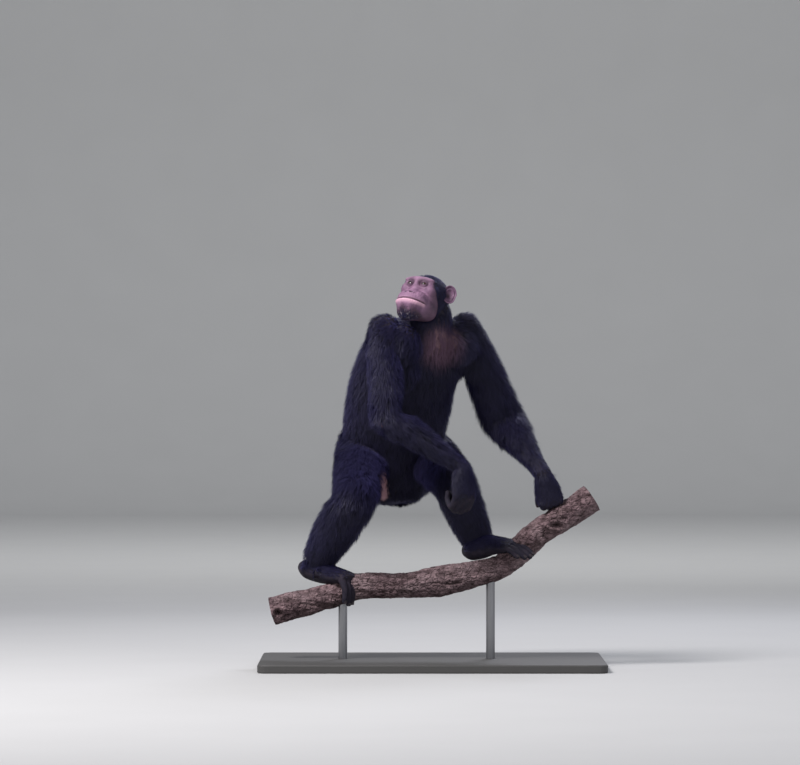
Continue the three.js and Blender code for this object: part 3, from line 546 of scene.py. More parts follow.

# %% Nostrils and painted shade
# Painted shade: the skin's colour is darkened in the mouth's groove, in the nostrils and in the
# eye sockets under the brow.
painted_shade = front * bump(above_mouth, 2.2) * 0.8
for s in (1, -1):
    mark = head_surface(unit(mirrored(NOSTRIL_AT, s) - HEART)[None])[0]
    away = np.linalg.norm((head - mark - [0, 1.2 * s, 0]) * [0.8, 0.85, 1.15], axis=1)
    head = raise_by(head, 3.0 * bump(away - 8.0, 2.8) - 8.0 * bump(away, 4.0))
    painted_shade = np.maximum(painted_shade, ease(7.0, 4.6, away))
    from_eye = (head - mirrored(EYE_AT, s))[:, 1:] - [0, 4]
    socket = bump(np.linalg.norm(from_eye * [0.7, 1.05], axis=1), 14)
    painted_shade = np.maximum(painted_shade, 0.88 * socket * ease(0.2, 0.6, ways[:, 0]))
# More painted shade: under the jaw, where it also stands for the dark of the beard, and on the
# sides of the face, away from the light.
below_lip = ease(-80, -104, head[:, 2] + 5 * np.sin(head[:, 1] * 0.16))
aside = ease(0.85, 1.45, np.abs(angle)) * ease(30, 0, head[:, 2])
painted_shade = np.clip(painted_shade + 0.86 * below_lip + 0.62 * aside * (1 - below_lip), 0, 1)
print("shaded", round(float(painted_shade.mean()), 3))

# %% [markdown]
# A lid is thin skin that lies on the eyeball but for an almond opening. The skin is moved onto the
# ball round the opening and into it within, and a thin tube along the edge makes the rim wet and
# thick enough to catch the light.

# %% Lids
EYE_HALF, UPPER_LID, LOWER_LID = 11.5, 6.4, 4.6
RIM_STEPS, RIM_SIDES, RIM_RADIUS = 48, 8, 1.2
lid_parts = []
for s in (1, -1):
    centre = mirrored(EYE_AT, s)
    forward = unit(np.array([1, 0.22 * s, 0.06]))
    lateral = unit(np.cross([0, 0, 1], forward))
    upward = np.cross(forward, lateral)
    q = head - centre
    x, y, z = q @ lateral, q @ upward, q @ forward
    arch = np.clip(1 - (x / EYE_HALF) ** 2, 0, None)
    room = np.where(y > 0, UPPER_LID, LOWER_LID) * arch
    outside = np.where(np.abs(x) < EYE_HALF, np.abs(y) - room, np.hypot(np.abs(x) - EYE_HALF, y))
    disc = np.sqrt(np.maximum((EYE_RADIUS + 1.5) ** 2 - x**2 - y**2, 0))
    close = (z > 0) & (np.hypot(x, y) < EYE_RADIUS + 1.4)
    lid = -smooth_min(-z, -disc, 3)
    pit = np.minimum(z, np.sqrt(np.maximum((EYE_RADIUS - 3) ** 2 - x**2 - y**2, 0)))
    target = np.where(outside > 0, lid, pit)
    head = head + forward * np.where(close, target - z, 0)[:, None]
    x, up = EYE_HALF * np.cos(circle(RIM_STEPS)), np.sin(circle(RIM_STEPS))
    y = np.where(up > 0, UPPER_LID, LOWER_LID) * up * np.abs(up)
    z = np.sqrt((EYE_RADIUS + 0.9) ** 2 - x**2 - y**2)
    rim = centre + x[:, None] * lateral + y[:, None] * upward + z[:, None] * forward
    tangent = unit(np.roll(rim, -1, 0) - np.roll(rim, 1, 0))
    outward = unit(rim - centre)
    spin = circle(RIM_SIDES)[None, :, None]
    ring = rim[:, None] + RIM_RADIUS * (np.cos(spin) * outward[:, None]
                                        + np.sin(spin) * np.cross(tangent, outward)[:, None])
    lid_parts.append((ring.reshape(-1, 3), [grid_quads(RIM_STEPS, RIM_SIDES, True, True)]))

# %% [markdown]
# The hair of the head starts behind a line from the brow past the cheek to the jaw. It could be
# drawn as a mask in a picture, but one rule in the head's axes gives the same line to the skin
# and to the hairs. Behind it the skin is drawn in, to leave the coat its depth.

# %% Hair line of the head
def before_line(p):
    """How far points of the head lie before the line that runs down from the brow."""
    return p[:, 0] - 72 - 1.42 * np.minimum(p[:, 2] - 7, 0)


def face_share(p):
    """1 on the bare face, 0 where the coat grows, in the head's own axes."""
    return ease(-9, 9, np.minimum(before_line(p), p[:, 0] + 12))


bare_face = face_share(head)
head = raise_by(head, -3.5 * (1 - bare_face))
print("bare face", round(float(bare_face.mean()), 3))

# %% [markdown]
# An ape's ear is a thin cup with a rolled rim, an inner fold and a notch before the canal. It is
# a grid of rings whose height follows these forms, front and back, so that it stays closed and
# thin. A small ball sunk in the head makes its root.

# %% Ears
EAR_WIDE, EAR_HIGH = 24, 33.0  # half sizes, the lobe a little narrower
EAR_AT, EAR_TURN, EAR_LEAN = (-12, 76, 25), math.radians(42), math.radians(8)


def ear(side):
    """A cup with a rolled rim, an inner fold, a canal and a stem, and how much painted shade each
    point takes.
    """
    r, t = np.linspace(0.04, 1, 26)[:, None], circle(56)[None]
    wide = EAR_WIDE * (1 - 0.1 * np.cos(t) * (np.sin(t) < 0))
    y, z = r * wide * np.cos(t), r * EAR_HIGH * np.sin(t)
    rear = 1 - ease(2.1, 2.7, np.abs((t - 0.35 + math.pi) % (2 * math.pi) - math.pi))
    hollow = -3 + 6 * r**2.4
    rolled = 5.0 * bump(r - 0.92, 0.10) * (0.35 + 0.65 * rear)
    fold = 5.2 * bump(r - 0.60, 0.12) * rear * ease(-0.95, -0.6, np.sin(t))
    canal = -6 * bump(np.hypot(y + 7, z + 4), 8)
    tragus = 5 * bump(np.hypot(y + 18, z + 4), 6)
    front = hollow + rolled + fold + canal + tragus
    thick = np.where(r > 0.97, 1.4, 2.6 + 4.5 * (1 - r**2)) + 0 * t
    before = np.stack([front + 0 * y, y, z], -1)
    behind = np.stack([front - thick - canal * 0.8, y, z], -1)[::-1]
    grid = np.concatenate([before, behind])
    points, polygons = closed_grid(grid, grid[0].mean(0), grid[-1].mean(0))
    stem, stem_polygons = ball((-13, -12, 0), (9, 15, 18))
    points, polygons = fused([(points, polygons), (stem, stem_polygons)], 1.3, 3)
    x, y, z = points.T
    # Painted shade: darkest in the hollow round the canal, less in a ring between fold and rim, on
    # the cup's front only.
    deep = 0.9 * bump(np.hypot(y + 5, z + 3), 11)
    deep += 0.4 * bump(np.hypot(y / EAR_WIDE, z / EAR_HIGH) - 0.77, 0.07)
    deep = np.clip(deep * ease(7, 3, x) * (x > -9), 0, 1)
    turn = Matrix.Rotation(EAR_TURN, 3, "Z") @ Matrix.Rotation(EAR_LEAN, 3, "X")
    points = mirrored(points @ np.array(turn).T + EAR_AT, side)
    return (points, [group[:, ::side] for group in polygons]), deep


ears, ear_shades = zip(ear(1), ear(-1))
print("ears", [len(points) for points, _ in ears])

# %% [markdown]
# ## The skin
#
# Real skin is one sheet from face to toes. Trunk and limbs are fused coarsely, because a coat
# covers them, hands and feet finely, and the head keeps its own fine mesh. All of them are one
# object, and the coat hides where they pass into each other.

# %% Body surface
shoulders = [ball(FORMS[f"arm_{s}"].centre[14], (44, 44, 44)) for s in JOINTS]
shoulders += [ball((-82, -122, 952), (50, 34, 52)), ball((-84, -108, 890), (40, 26, 60)),
              ball((70, -44, 956), (54, 42, 54)), ball((-80, -60, 988), (56, 48, 38)),
              ball((50, -28, 988), (56, 46, 34))]
hips = [ball(FORMS[f"leg_{s}"].centre[20], (66, 66, 66)) for s in JOINTS]
hips += [ball((-180, 116, 662), (70, 70, 84)), ball((-24, 150, 650), (66, 62, 66))]
tubes = [form.tube(90, 48) for form in FORMS.values()]
body, body_polygons = fused(tubes + shoulders + hips, 4.6, 45)
print("body", len(body))

limb_parts = {}
for name, forms in EXTREMITIES.items():
    rods = [form.tube(30, 24) for form in forms]
    tips = [ball(form.centre[-8], form.girth[-30, :1].repeat(3) * 0.86) for form in forms[1:]]
    limb_parts[name] = fused(rods + tips, 1.9, 4)
print({name: len(points) for name, (points, _) in limb_parts.items()})

# %% [markdown]
# Hair lies down the trunk, out over the shoulders and along the limbs to wrist and heel. Each
# point of the skin is given to the form that it lies nearest to, and takes that form's way. The
# ways are then evened out over the mesh, so that the coat turns softly from one to the next.

# %% Which way the coat lies
names = list(FORMS)
found = [FORMS[name].nearest(body) for name in names]
owner = np.argmin([ratio for _, _, ratio in found], axis=0)
pick = lambda column: np.choose(owner, [f[column] for f in found])
body_u, body_a = pick(0), pick(1)
flow = np.zeros_like(body)
rise = np.zeros(len(body))
for i, name in enumerate(names):
    mine, form = owner == i, FORMS[name]
    lie = -1 if name == "trunk" else 1
    flow[mine] = form.pick(form.along, body_u[mine]) * lie
    rise[mine] = form.pick(form.girth, body_u[mine])[:, 2]
body_normals = normals_of(body, body_polygons)
NECK_AT = np.array([-12.0, -60, 0])
outward = unit((body - NECK_AT) * [1, 1, 0])
flow += outward * 0.9 * ease(860, 960, body[:, 2])[:, None]
flow += [[0, 0.25, -0.9]] * (ease(0.5, 0.15, body_u) * (owner > 2))[:, None]
flow += [[0, 0.6, 0]] * ease(620, 520, body[:, 2])[:, None] * (owner == 0)[:, None]
flow += np.array([0, 0, -0.35])
flow -= body_normals * np.sum(flow * body_normals, 1, keepdims=True)
spread = eased_field(np.hstack([unit(flow), rise[:, None]]), body_polygons, 220)
flow, rise = unit(spread[:, :3]), np.clip(spread[:, 3], 2, 30)
on_top = ease(940, 1005, body[:, 2]) * ease(-0.1, 0.5, body_normals[:, 2])
flow = unit(flow + outward * 1.4 * on_top[:, None] + [0, 0, -0.3])
rise *= 1 - 0.35 * on_top

# %% [markdown]
# Three places show skin through the coat: the chest below the throat, an elbow, and a pink fold
# beside the right thigh. Each is an ellipsoid round a named point, so that skin and coat read the
# same marks without any picture.

# %% Markings
CHEST_AT = np.array([30, -125, 950.0])  # a thinly haired patch below the throat
GROIN_AT = np.array([-143, 70, 524.0])  # a bare pink fold beside the right thigh
ELBOW_AT = np.array([-156, -240, 716.0])  # a bare spot on the right elbow


def markings(points):
    """How thin the coat is at points of the body, and how pink the skin."""
    q = points - CHEST_AT
    chest = ease(1.25, 0.5, np.linalg.norm(q / [60, 90, 64], axis=1))
    groin = ease(1.5, 0.8, np.linalg.norm((points - GROIN_AT) / [14, 95, 46], axis=1))
    elbow = ease(1.4, 0.6, np.linalg.norm((points - ELBOW_AT) / [15, 34, 15], axis=1))
    return chest, groin, elbow


chest, groin, elbow = markings(body)
print("marked", [int((m > 0.5).sum()) for m in (chest, groin, elbow)])

# %% One skin object
parts = [(body, body_polygons)]
masks = [np.stack([0 * rise, chest * 0.4 + groin + elbow * 0.8, 0 * rise, 0 * rise], 1)]
for name, part in limb_parts.items():
    parts.append(part)
    masks.append(np.zeros((len(part[0]), 4)))
lip = front * bump(above_mouth + 7, 8)
parts.append((head_to_model(head), head_polygons))
masks.append(np.stack([bare_face, lip, lip, painted_shade], 1))
# Painted shade: the lid rims are darkened about halfway to the shade colour, round the dark eye
# sockets, and the ears in their hollows. The whole ear is also a little darker.
lid_shades = [np.full(len(points), 0.5) for points, _ in lid_parts]
for (points, polygons), deep in zip(lid_parts + list(ears), lid_shades + list(ear_shades)):
    parts.append((head_to_model(points), polygons))
    masks.append(np.stack([deep * 0 + 1, deep * 0, deep * 0, 0.15 + 0.85 * deep], 1))
skin_points, skin_polygons = joined(parts)
skin_masks = np.vstack(masks)
skin_mesh = make_mesh("skin", skin_points * MM, skin_polygons)
add_values(skin_mesh, **dict(zip(("face", "pink", "lip", "painted_shade"), skin_masks.T)))
print("skin", len(skin_points), "points")

# %% [markdown]
# ## Materials
#
# Bare skin is mauve and blotched, hands are near black, hair is black with a blue sheen, and bark
# is a rough red-brown. All follow from noise and from marks kept on the mesh. Long lists of nodes
# and links are hard to read, so a small class lets sockets be added, multiplied and mixed like
# numbers, and a second one holds a material with the inputs that it reads.

# %% Shader maths
class Socket:
    def __init__(self, tree, socket):
        self.tree, self.socket = tree, socket

    def node(self, kind, inputs, out=0, **settings):
        made = self.tree.nodes.new(kind)
        for key, value in settings.items():
            setattr(made, key, value)
        for key, value in inputs.items():
            if isinstance(value, Socket):
                self.tree.links.new(value.socket, made.inputs[key])
            else:
                made.inputs[key].default_value = value
        return Socket(self.tree, made.outputs[out])

    def math(self, operation, a, b):
        return self.node("ShaderNodeMath", {0: a, 1: b}, operation=operation)

    def __add__(self, other):
        return self.math("ADD", self, other)

    def __sub__(self, other):
        return self.math("SUBTRACT", self, other)

    def __rsub__(self, other):
        return self.math("SUBTRACT", other, self)

    def __mul__(self, other):
        return self.math("MULTIPLY", self, other)

    __radd__, __rmul__ = __add__, __mul__

    def ramp(self, low, high):
        return self.node("ShaderNodeMapRange", {0: self, 1: low, 2: high, 3: 0.0, 4: 1.0})

    def mix(self, a, b):
        """Colour a where this is 0 and b where it is 1."""
        full = lambda c: c if isinstance(c, Socket) else (*c, 1.0)
        return self.node("ShaderNodeMix", {0: self, 6: full(a), 7: full(b)}, out=2,
                         data_type="RGBA")


class Surface:
    """A material with its node tree, its shader and the inputs that it reads."""

    def __init__(self, name, **constants):
        self.material = bpy.data.materials.new(name)
        self.material.use_nodes = True
        self.tree = self.material.node_tree
        self.shader = self.tree.nodes["Principled BSDF"]
        for key, value in constants.items():
            self.shader.inputs[key.replace("_", " ")].default_value = value
        self.any = Socket(self.tree, None)
        self.place = self.any.node("ShaderNodeTexCoord", {}, out="Object")

    def attribute(self, name):
        return self.any.node("ShaderNodeAttribute", {}, out="Fac", attribute_name=name)

    def noise(self, scale, detail=3.0, stretch=(1, 1, 1)):
        place = self.place
        if stretch != (1, 1, 1):
            place = self.any.node("ShaderNodeMapping", {0: self.place, 3: stretch})
        return self.any.node("ShaderNodeTexNoise", {"Vector": place, "Scale": scale,
                                                    "Detail": detail})

    def cells(self, scale, feature="DISTANCE_TO_EDGE"):
        return self.any.node("ShaderNodeTexVoronoi", {"Vector": self.place, "Scale": scale},
                             feature=feature)

    def set(self, **values):
        for key, value in values.items():
            self.tree.links.new(value.socket, self.shader.inputs[key.replace("_", " ")])
        return self

    def bumped(self, height, strength, distance):
        bump_node = self.any.node("ShaderNodeBump", {"Height": height, "Strength": strength,
                                                     "Distance": distance})
        return self.set(Normal=bump_node)


# %% Skin
FACE = (0.32, 0.178, 0.275)
FACE_DARK = (0.145, 0.075, 0.135)
# FACE_SHADE is the colour of painted shade on the face, ears and lids.
FACE_SHADE = (0.022, 0.012, 0.020)
LIP = (0.60, 0.35, 0.45)
HAND = (0.011, 0.009, 0.019)
HAND_PALE = (0.034, 0.024, 0.036)
PINK = (0.48, 0.27, 0.30)
skin = Surface("skin", Roughness=0.55, Specular_IOR_Level=0.28)
blotch = skin.noise(38, 4).ramp(0.35, 0.7)
freckle = skin.noise(210, 2).ramp(0.55, 0.75)
face_colour = blotch.mix(FACE_DARK, FACE)
face_colour = (0.35 * freckle).mix(face_colour, FACE_DARK)
face_colour = skin.attribute("lip").mix(face_colour, LIP)
face_colour = skin.attribute("painted_shade").mix(face_colour, FACE_SHADE)
hand_colour = (0.7 * skin.noise(60, 4).ramp(0.4, 0.75)).mix(HAND, HAND_PALE)
colour = skin.attribute("face").mix(hand_colour, face_colour)
colour = (skin.attribute("pink") * (1 - skin.attribute("face"))).mix(colour, PINK)
skin.set(Base_Color=colour, Roughness=0.72 + 0.15 * blotch - 0.27 * skin.attribute("face"))
wrinkles = skin.cells(230).ramp(0.0, 0.28) + 0.5 * skin.noise(420, 2)
skin.bumped(wrinkles, 0.35, 0.0012)
print("skin nodes", len(skin.tree.nodes))

# %% [markdown]
# Black hair throws back a little cool light, which sheen with a blue tint gives. The tips are
# coloured blue as well, a painted blue sheen. The iris, the pupil and the white are rings about
# the way of looking.

# %% Coat, eyes and nails
coat = Surface("coat", Roughness=0.6, Specular_IOR_Level=0.26, Sheen_Weight=0.32,
               Sheen_Roughness=0.42, Sheen_Tint=(0.34, 0.31, 1.0, 1))
COAT_ROOT, COAT_TIP_AND_SHEEN = (0.004, 0.0035, 0.010), (0.017, 0.0145, 0.048)
COAT_BROWN, COAT_WHITE = (0.17, 0.092, 0.135), (0.40, 0.34, 0.37)
# The hair is darker towards the root, and the blue of the tip colour is painted blue sheen.
along_hair = coat.attribute("tip") * coat.attribute("tint")
hair = along_hair.mix(COAT_ROOT, COAT_TIP_AND_SHEEN)
hair = coat.attribute("brown").mix(hair, COAT_BROWN)
hair = coat.attribute("white").mix(hair, COAT_WHITE)
coat.set(Base_Color=hair)

eye = Surface("eye", Roughness=0.12, Coat_Weight=0.6, Coat_Roughness=0.03, IOR=1.4)
look = eye.attribute("look")
white = look.ramp(0.60, 0.68).mix((0.028, 0.010, 0.005), (0.06, 0.04, 0.035))
eye.set(Base_Color=look.ramp(0.24, 0.29).mix((0.002, 0.002, 0.002), white))

nail = Surface("nail", Roughness=0.45, Specular_IOR_Level=0.3)
nail.set(Base_Color=nail.noise(300).mix((0.022, 0.017, 0.022), (0.05, 0.038, 0.045)))
print("coat nodes", len(coat.tree.nodes), "eye nodes", len(eye.tree.nodes))

# %% [markdown]
# Bark is plated and cracked, paler on its ridges and darker in its cracks, low spots, knots and
# hollows, a painted shade, and pale wood shows where it was sawn. The stand is plain dark paint
# and brushed steel, so that it draws no attention.

# %% Bark and stand
bark = Surface("bark", Roughness=0.85, Specular_IOR_Level=0.25)
grain = bark.noise(52, 7).ramp(0.36, 0.66)
plates = bark.cells(58).ramp(0.0, 0.16)
bark_colour = grain.mix((0.08, 0.048, 0.054), (0.26, 0.175, 0.185))
bark_colour = (0.5 * bark.noise(9, 3).ramp(0.5, 0.72)).mix(bark_colour, (0.34, 0.26, 0.27))
# Painted shade: the pit mask darkens the bark in its cracks, low spots, knots and hollows.
bark_colour = (0.9 * bark.attribute("pit")).mix(bark_colour, (0.04, 0.024, 0.024))
bark_colour = bark.attribute("cut").mix(bark_colour, (0.46, 0.33, 0.21))
bark.set(Base_Color=bark_colour)
bark.bumped(0.8 * plates + 1.3 * bark.noise(150, 5), 0.9, 0.0045)

base = Surface("base", Roughness=0.6)
base.set(Base_Color=base.noise(900, 1).mix((0.052, 0.05, 0.048), (0.062, 0.06, 0.058)))
rod = Surface("rod", Roughness=0.32, Metallic=1.0)
rod.set(Base_Color=rod.noise(700, 1, (1, 1, 0.02)).mix((0.26, 0.26, 0.27), (0.36, 0.36, 0.37)))
print("materials", len(bpy.data.materials))

# %% [markdown]
# The skin now stands in for all the solids of flesh, and each eyeball for its own solid. The
# eyeball is a sphere with a slight bulge for the cornea, because lids and light hide the rest.

# %% Skin and eyes
FLESH = ["torso", "neck", "head", "ear_left", "ear_right"] + [
    f"{part}_{side}" for side in JOINTS
    for part in ("upper_arm", "forearm", "hand", "thigh", "shank", "foot")]
skin_object = add_object("skin", skin_mesh, skin.material)
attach(skin_object, "root")
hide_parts(*FLESH)

GAZE = unit(np.array([1.0, 0.02, 0.16]))
for name, s in (("eye_left", 1), ("eye_right", -1)):
    points, polygons = ball((0, 0, 0), (EYE_RADIUS,) * 3, 48, 64)
    looked = np.arccos(np.clip(unit(points) @ GAZE, -1, 1))
    points = points * (1 + 0.05 * bump(looked, 0.5))[:, None]
    mesh = make_mesh(name, head_to_model(points + mirrored(EYE_AT, s)) * MM, polygons)
    add_values(mesh, look=looked)
    ball_object = add_object(f"{name}.ball", mesh, eye.material)
    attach(ball_object, "root")
    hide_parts(name)
    print(name, len(points))

# %% [markdown]
# A nail is a thin curved plate on the back of a digit's tip. It is a small grid, bent across and
# thickened, and set by the digit's own line, so that all twenty come from one function.

# %% Nails
NAIL_GRID, NAIL_AT, NAIL_THICK = 9, -14, 2.4  # points a side, place on the digit, thickness


def nail_plate(form):
    """A thin curved plate on the back of a digit's tip."""
    tip, along, back = form.centre[NAIL_AT], form.along[NAIL_AT], form.out[NAIL_AT]
    across, radius = np.cross(along, back), form.girth[-40, 0]
    w = np.linspace(-1, 1, NAIL_GRID)[None]
    v = w.T
    height = radius * (0.93 - 0.30 * w**2) + 0 * v
    top = (tip + along * (v * radius * 0.62 + radius * 0.25)[..., None]
           + across * (w * radius * (0.66 - 0.1 * v**2))[..., None] + back * height[..., None])
    top = top.reshape(-1, 3)
    quads, cells = grid_quads(NAIL_GRID, NAIL_GRID), np.arange(NAIL_GRID**2).reshape(NAIL_GRID, -1)
    ring = np.concatenate([cells[0, :-1], cells[:-1, -1], cells[-1, :0:-1], cells[:0:-1, 0]])
    after, below = np.roll(ring, -1), len(top)
    rim = np.stack([ring, after, after + below, ring + below], 1)
    return np.vstack([top, top - back * NAIL_THICK]), [quads, quads[:, ::-1] + below, rim]


points, polygons = joined([nail_plate(form)
                           for forms in EXTREMITIES.values() for form in forms[1:]])
nails = add_object("nails", make_mesh("nails", points * MM, polygons), nail.material)
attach(nails, "root")
print("nails", len(points))

# %% [markdown]
# ## The coat
#
# The coat is long, coarse and straight, and hangs in loose tufts. Hair curves would be lost when
# the model is exported, so a tuft is a few thin tapered blades of mesh that leave the skin, bend
# over and lie along the coat's flow. There are some hundred thousand of them, made as whole
# arrays. Each tuft's place on the unwrapped skin goes into the map OFBake.

# %% Tufts
BLADE_T = np.array([0, 0, 0.38, 0.38, 0.74, 0.74, 1.0])
BLADE_X = np.array([-0.6, 0.6, -1, 1, -0.66, 0.66, 0.0])
COAT_PIECES = []


def scatter(points, polygons, density, seed):
    """Random places on a surface: corner indices and weights, so many per square millimetre."""
    random = np.random.default_rng(seed)
    tris = triangles(polygons)
    a, b, c = (points[tris[:, i]] for i in range(3))
    area = np.linalg.norm(np.cross(b - a, c - a), axis=1) / 2
    chance = area * density[tris].mean(1)
    count = np.floor(chance + random.random(len(tris))).astype(int)
    pick = np.repeat(np.arange(len(tris)), count)
    r, s = random.random(len(pick)) ** 0.5, random.random(len(pick))
    return tris[pick], np.stack([1 - r, r * (1 - s), r * s], 1)


def tufts(name, roots, normals, flows, long, rise, width, uv, tint, brown, white, blades, seed,
          wild=0.13, spread=3.0):
    """A coat piece of tufts. Lengths and widths are in millimetres."""
    random = np.random.default_rng(seed)
    count = len(roots)
    vary = lambda low, high: random.uniform(low, high, (count, blades))
    flows = unit(flows - normals * np.sum(flows * normals, 1, keepdims=True))
    sides = np.cross(normals, flows)
    lean = random.normal(0, wild, count)[:, None] + vary(-0.16, 0.16)
    way = (flows[:, None] * np.cos(lean)[..., None] + sides[:, None] * np.sin(lean)[..., None])
    side = np.cross(normals[:, None], way)
    roll = vary(-0.4, 0.4)[..., None]
    flat = side * np.cos(roll) + normals[:, None] * np.sin(roll)
    start = roots[:, None] + (flows[:, None] * vary(-1, 1)[..., None]
                              + sides[:, None] * vary(-1, 1)[..., None]) * spread
    reach = long[:, None] * vary(0.75, 1.1)
    lift = rise[:, None] * vary(0.5, 1.05)
    curl = vary(-0.14, 0.14) * reach
    half = width[:, None] * vary(0.7, 1.2) / 2
    t, x = BLADE_T[None, None], BLADE_X[None, None]
    height = -1.5 + (lift[..., None] + 1.5) * t**0.8
    points = (start[:, :, None] + way[:, :, None] * (reach[..., None] * t)[..., None]
              + side[:, :, None] * (curl[..., None] * t**2)[..., None]
              + flat[:, :, None] * (half[..., None] * x)[..., None]
              + normals[:, None, None] * height[..., None])
    base = np.arange(count * blades)[:, None] * 7
    quads = np.vstack([base + [0, 1, 3, 2], base + [2, 3, 5, 4]])
    tips = base + [4, 5, 6]
    mesh = make_mesh(name, points.reshape(-1, 3) * MM, [quads, tips])
    per_point = lambda values: np.repeat(values, blades * 7)
    add_values(mesh, tip=np.tile(BLADE_T, count * blades), tint=per_point(tint),
               brown=per_point(brown), white=per_point(white))
    corners = np.concatenate([quads.ravel(), tips.ravel()])
    patch = 0.003 * np.stack([BLADE_X * 0.5 + 0.5, BLADE_T], 1)
    place = uv[corners // (blades * 7)] * 0.99 + patch[corners % 7]
    mesh.uv_layers.new(name="OFBake").data.foreach_set("uv", place.astype(np.float32).ravel())
    piece = add_object(name, mesh, coat.material, smooth=False)
    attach(piece, "root")
    COAT_PIECES.append((name, count * blades * 5))


# %% [markdown]
# The coat is thick over the whole body but thin on the marked places. Roots are scattered at
# random with fixed seeds, and their lengths, ways and tints change slowly with noise, as wisps
# do. The pieces are cut by region to keep each one small enough.

# %% Roots of the coat on trunk and limbs
TUFT_DENSITY = 0.040  # tufts per square millimetre
BLADES = 5
long_body = 13 + 1.6 * rise
long_body *= 1 - 0.35 * on_top
long_body *= 1 - 0.5 * ease(2.6, 1.2, np.linalg.norm((body - GROIN_AT) / [16, 95, 50], axis=1))
thin = np.clip(1 - 0.7 * chest - 1.0 * groin - 0.95 * elbow, 0, 1)
thin *= np.where(owner > 0, ease(1.02, 0.93, body_u), 1)
in_head = ease(66, 58, np.linalg.norm(body - head_to_model(HEART), axis=1))
density = TUFT_DENSITY * thin * (1 - in_head)
corners, weights = scatter(body, body_polygons, density, 11)
blend = lambda field: np.einsum("ij,ij...->i...", weights, field[corners])
roots, root_normals = blend(body), unit(blend(body_normals))
root_flow, root_rise, root_long = unit(blend(flow)), blend(rise), blend(long_body)
root_owner, root_u, root_a = owner[corners[:, 0]], body_u[corners[:, 0]], body_a[corners[:, 0]]
chest_roots = markings(roots)[0]
patches = fractal(roots, 70.0, 2)
wisps = np.stack([fractal(roots + shift, 34.0, 2) for shift in ([0, 0, 0], [900, 0, 0])], 1)
root_flow = unit(root_flow + 0.35 * np.cross(root_normals, root_flow) * wisps[:, :1])
tint = 0.75 + 0.35 * patches + np.random.default_rng(5).normal(0, 0.16, len(roots))
tint = np.clip(tint, 0.1, 1.6)
print("tufts", len(roots))

# %% Coat of trunk and limbs
GROUPS = {
    "coat_back_low": (0, (0.0, 0.5), 1), "coat_back_high": (0, (0.5, 1.0), 1),
    "coat_front_low": (0, (0.0, 0.5), -1), "coat_front_high": (0, (0.5, 1.0), -1),
}
for i, name in enumerate(names[1:], 1):
    GROUPS[f"coat_{name}_high"] = (i, (0.0, 0.5), 0)
    GROUPS[f"coat_{name}_low"] = (i, (0.5, 1.0), 0)
for number, (name, (which, (low, high), face)) in enumerate(GROUPS.items()):
    mine = (root_owner == which) & (root_u >= low - (low == 0)) & (root_u < high + (high == 1))
    if face:
        mine &= (np.sign(np.sin(root_a)) == face)
    share_u = np.clip((root_u[mine] - low) / (high - low), 0, 1)
    uv = np.stack([(root_a[mine] / (2 * math.pi)) % 1.0, share_u], 1)
    if face:
        uv[:, 0] = (uv[:, 0] * 2) % 1.0
    widths = np.clip(0.6 + root_long[mine] * 0.015, 0.5, 1.5)
    tufts(name, roots[mine], root_normals[mine], root_flow[mine], root_long[mine], root_rise[mine],
          widths, uv, tint[mine], chest_roots[mine] * 0.8, 0 * widths, BLADES, 40 + number)
print(COAT_PIECES)

# %% [markdown]
# The head's coat runs back from the brow over the crown and down behind the jaw. Short whitish
# hairs stand on the chin. It is made as the body's is, but finer, because the face draws the eye.

# %% Coat of the head
def lie_of_head(p):
    """The way that hair points on the head, in the head's axes."""
    back = np.stack([-1.0 + 0 * p[:, 0], 0.35 * np.sign(p[:, 1]) * np.abs(p[:, 1]) / 60,
                     -0.55 - 0.012 * np.clip(30 - p[:, 2], 0, 90)], 1)
    return unit(back)


head_normals = normals_of(head, head_polygons)
hairy = 1 - face_share(head)
chin = bump(np.linalg.norm((head - [96, 0, -112]) / [36, 46, 20], axis=1), 1.0) * 0.6
head_density = 0.16 * hairy + 0.34 * chin + 0.004 * bare_face * ease(-0.1, 0.3, above_mouth / 60)
head_density += 0.02 * bare_face * ease(30, 8, before_line(head))
corners, weights = scatter(head * HEAD_SCALE, head_polygons, head_density, 21)
roots, root_normals = blend(head), unit(blend(head_normals))
behind = blend(hairy)
beard = np.clip(blend(chin) * 2.4, 0, 1) * (1 - behind)
lie = lie_of_head(roots)
lie = np.where(beard[:, None] > 0.2, unit(np.array([0.3, 0, -1.0])), lie)
whisker = ease(10, -50, roots[:, 2])
long_hair = 4 + 9 * behind + 12 * behind * whisker + 9 * beard
random = np.random.default_rng(22)
white = np.where(random.random(len(roots)) < 0.09, beard, 0) * (1 - behind)
way = unit(roots - HEART)
uv = np.stack([np.arctan2(way[:, 1], way[:, 0]) / (2 * math.pi) + 0.5,
               np.arcsin(np.clip(way[:, 2], -1, 1)) / math.pi + 0.5], 1)
tufts("coat_head", head_to_model(roots), root_normals @ HEAD_AXES.T, lie @ HEAD_AXES.T, long_hair,
      0.8 + 3.2 * behind + 3 * whisker * behind + 2 * beard, 0.4 + 0.25 * behind + 0.2 * beard, uv,
      0.7 + 0.4 * random.random(len(roots)), 0 * white, white, 3, 23, wild=0.3, spread=1.2)

# %% [markdown]
# Fine dark hair covers the backs of hands and feet and thins out towards the digits. The palm's
# side stays bare, so the hairs are scattered only where the skin faces away from it.

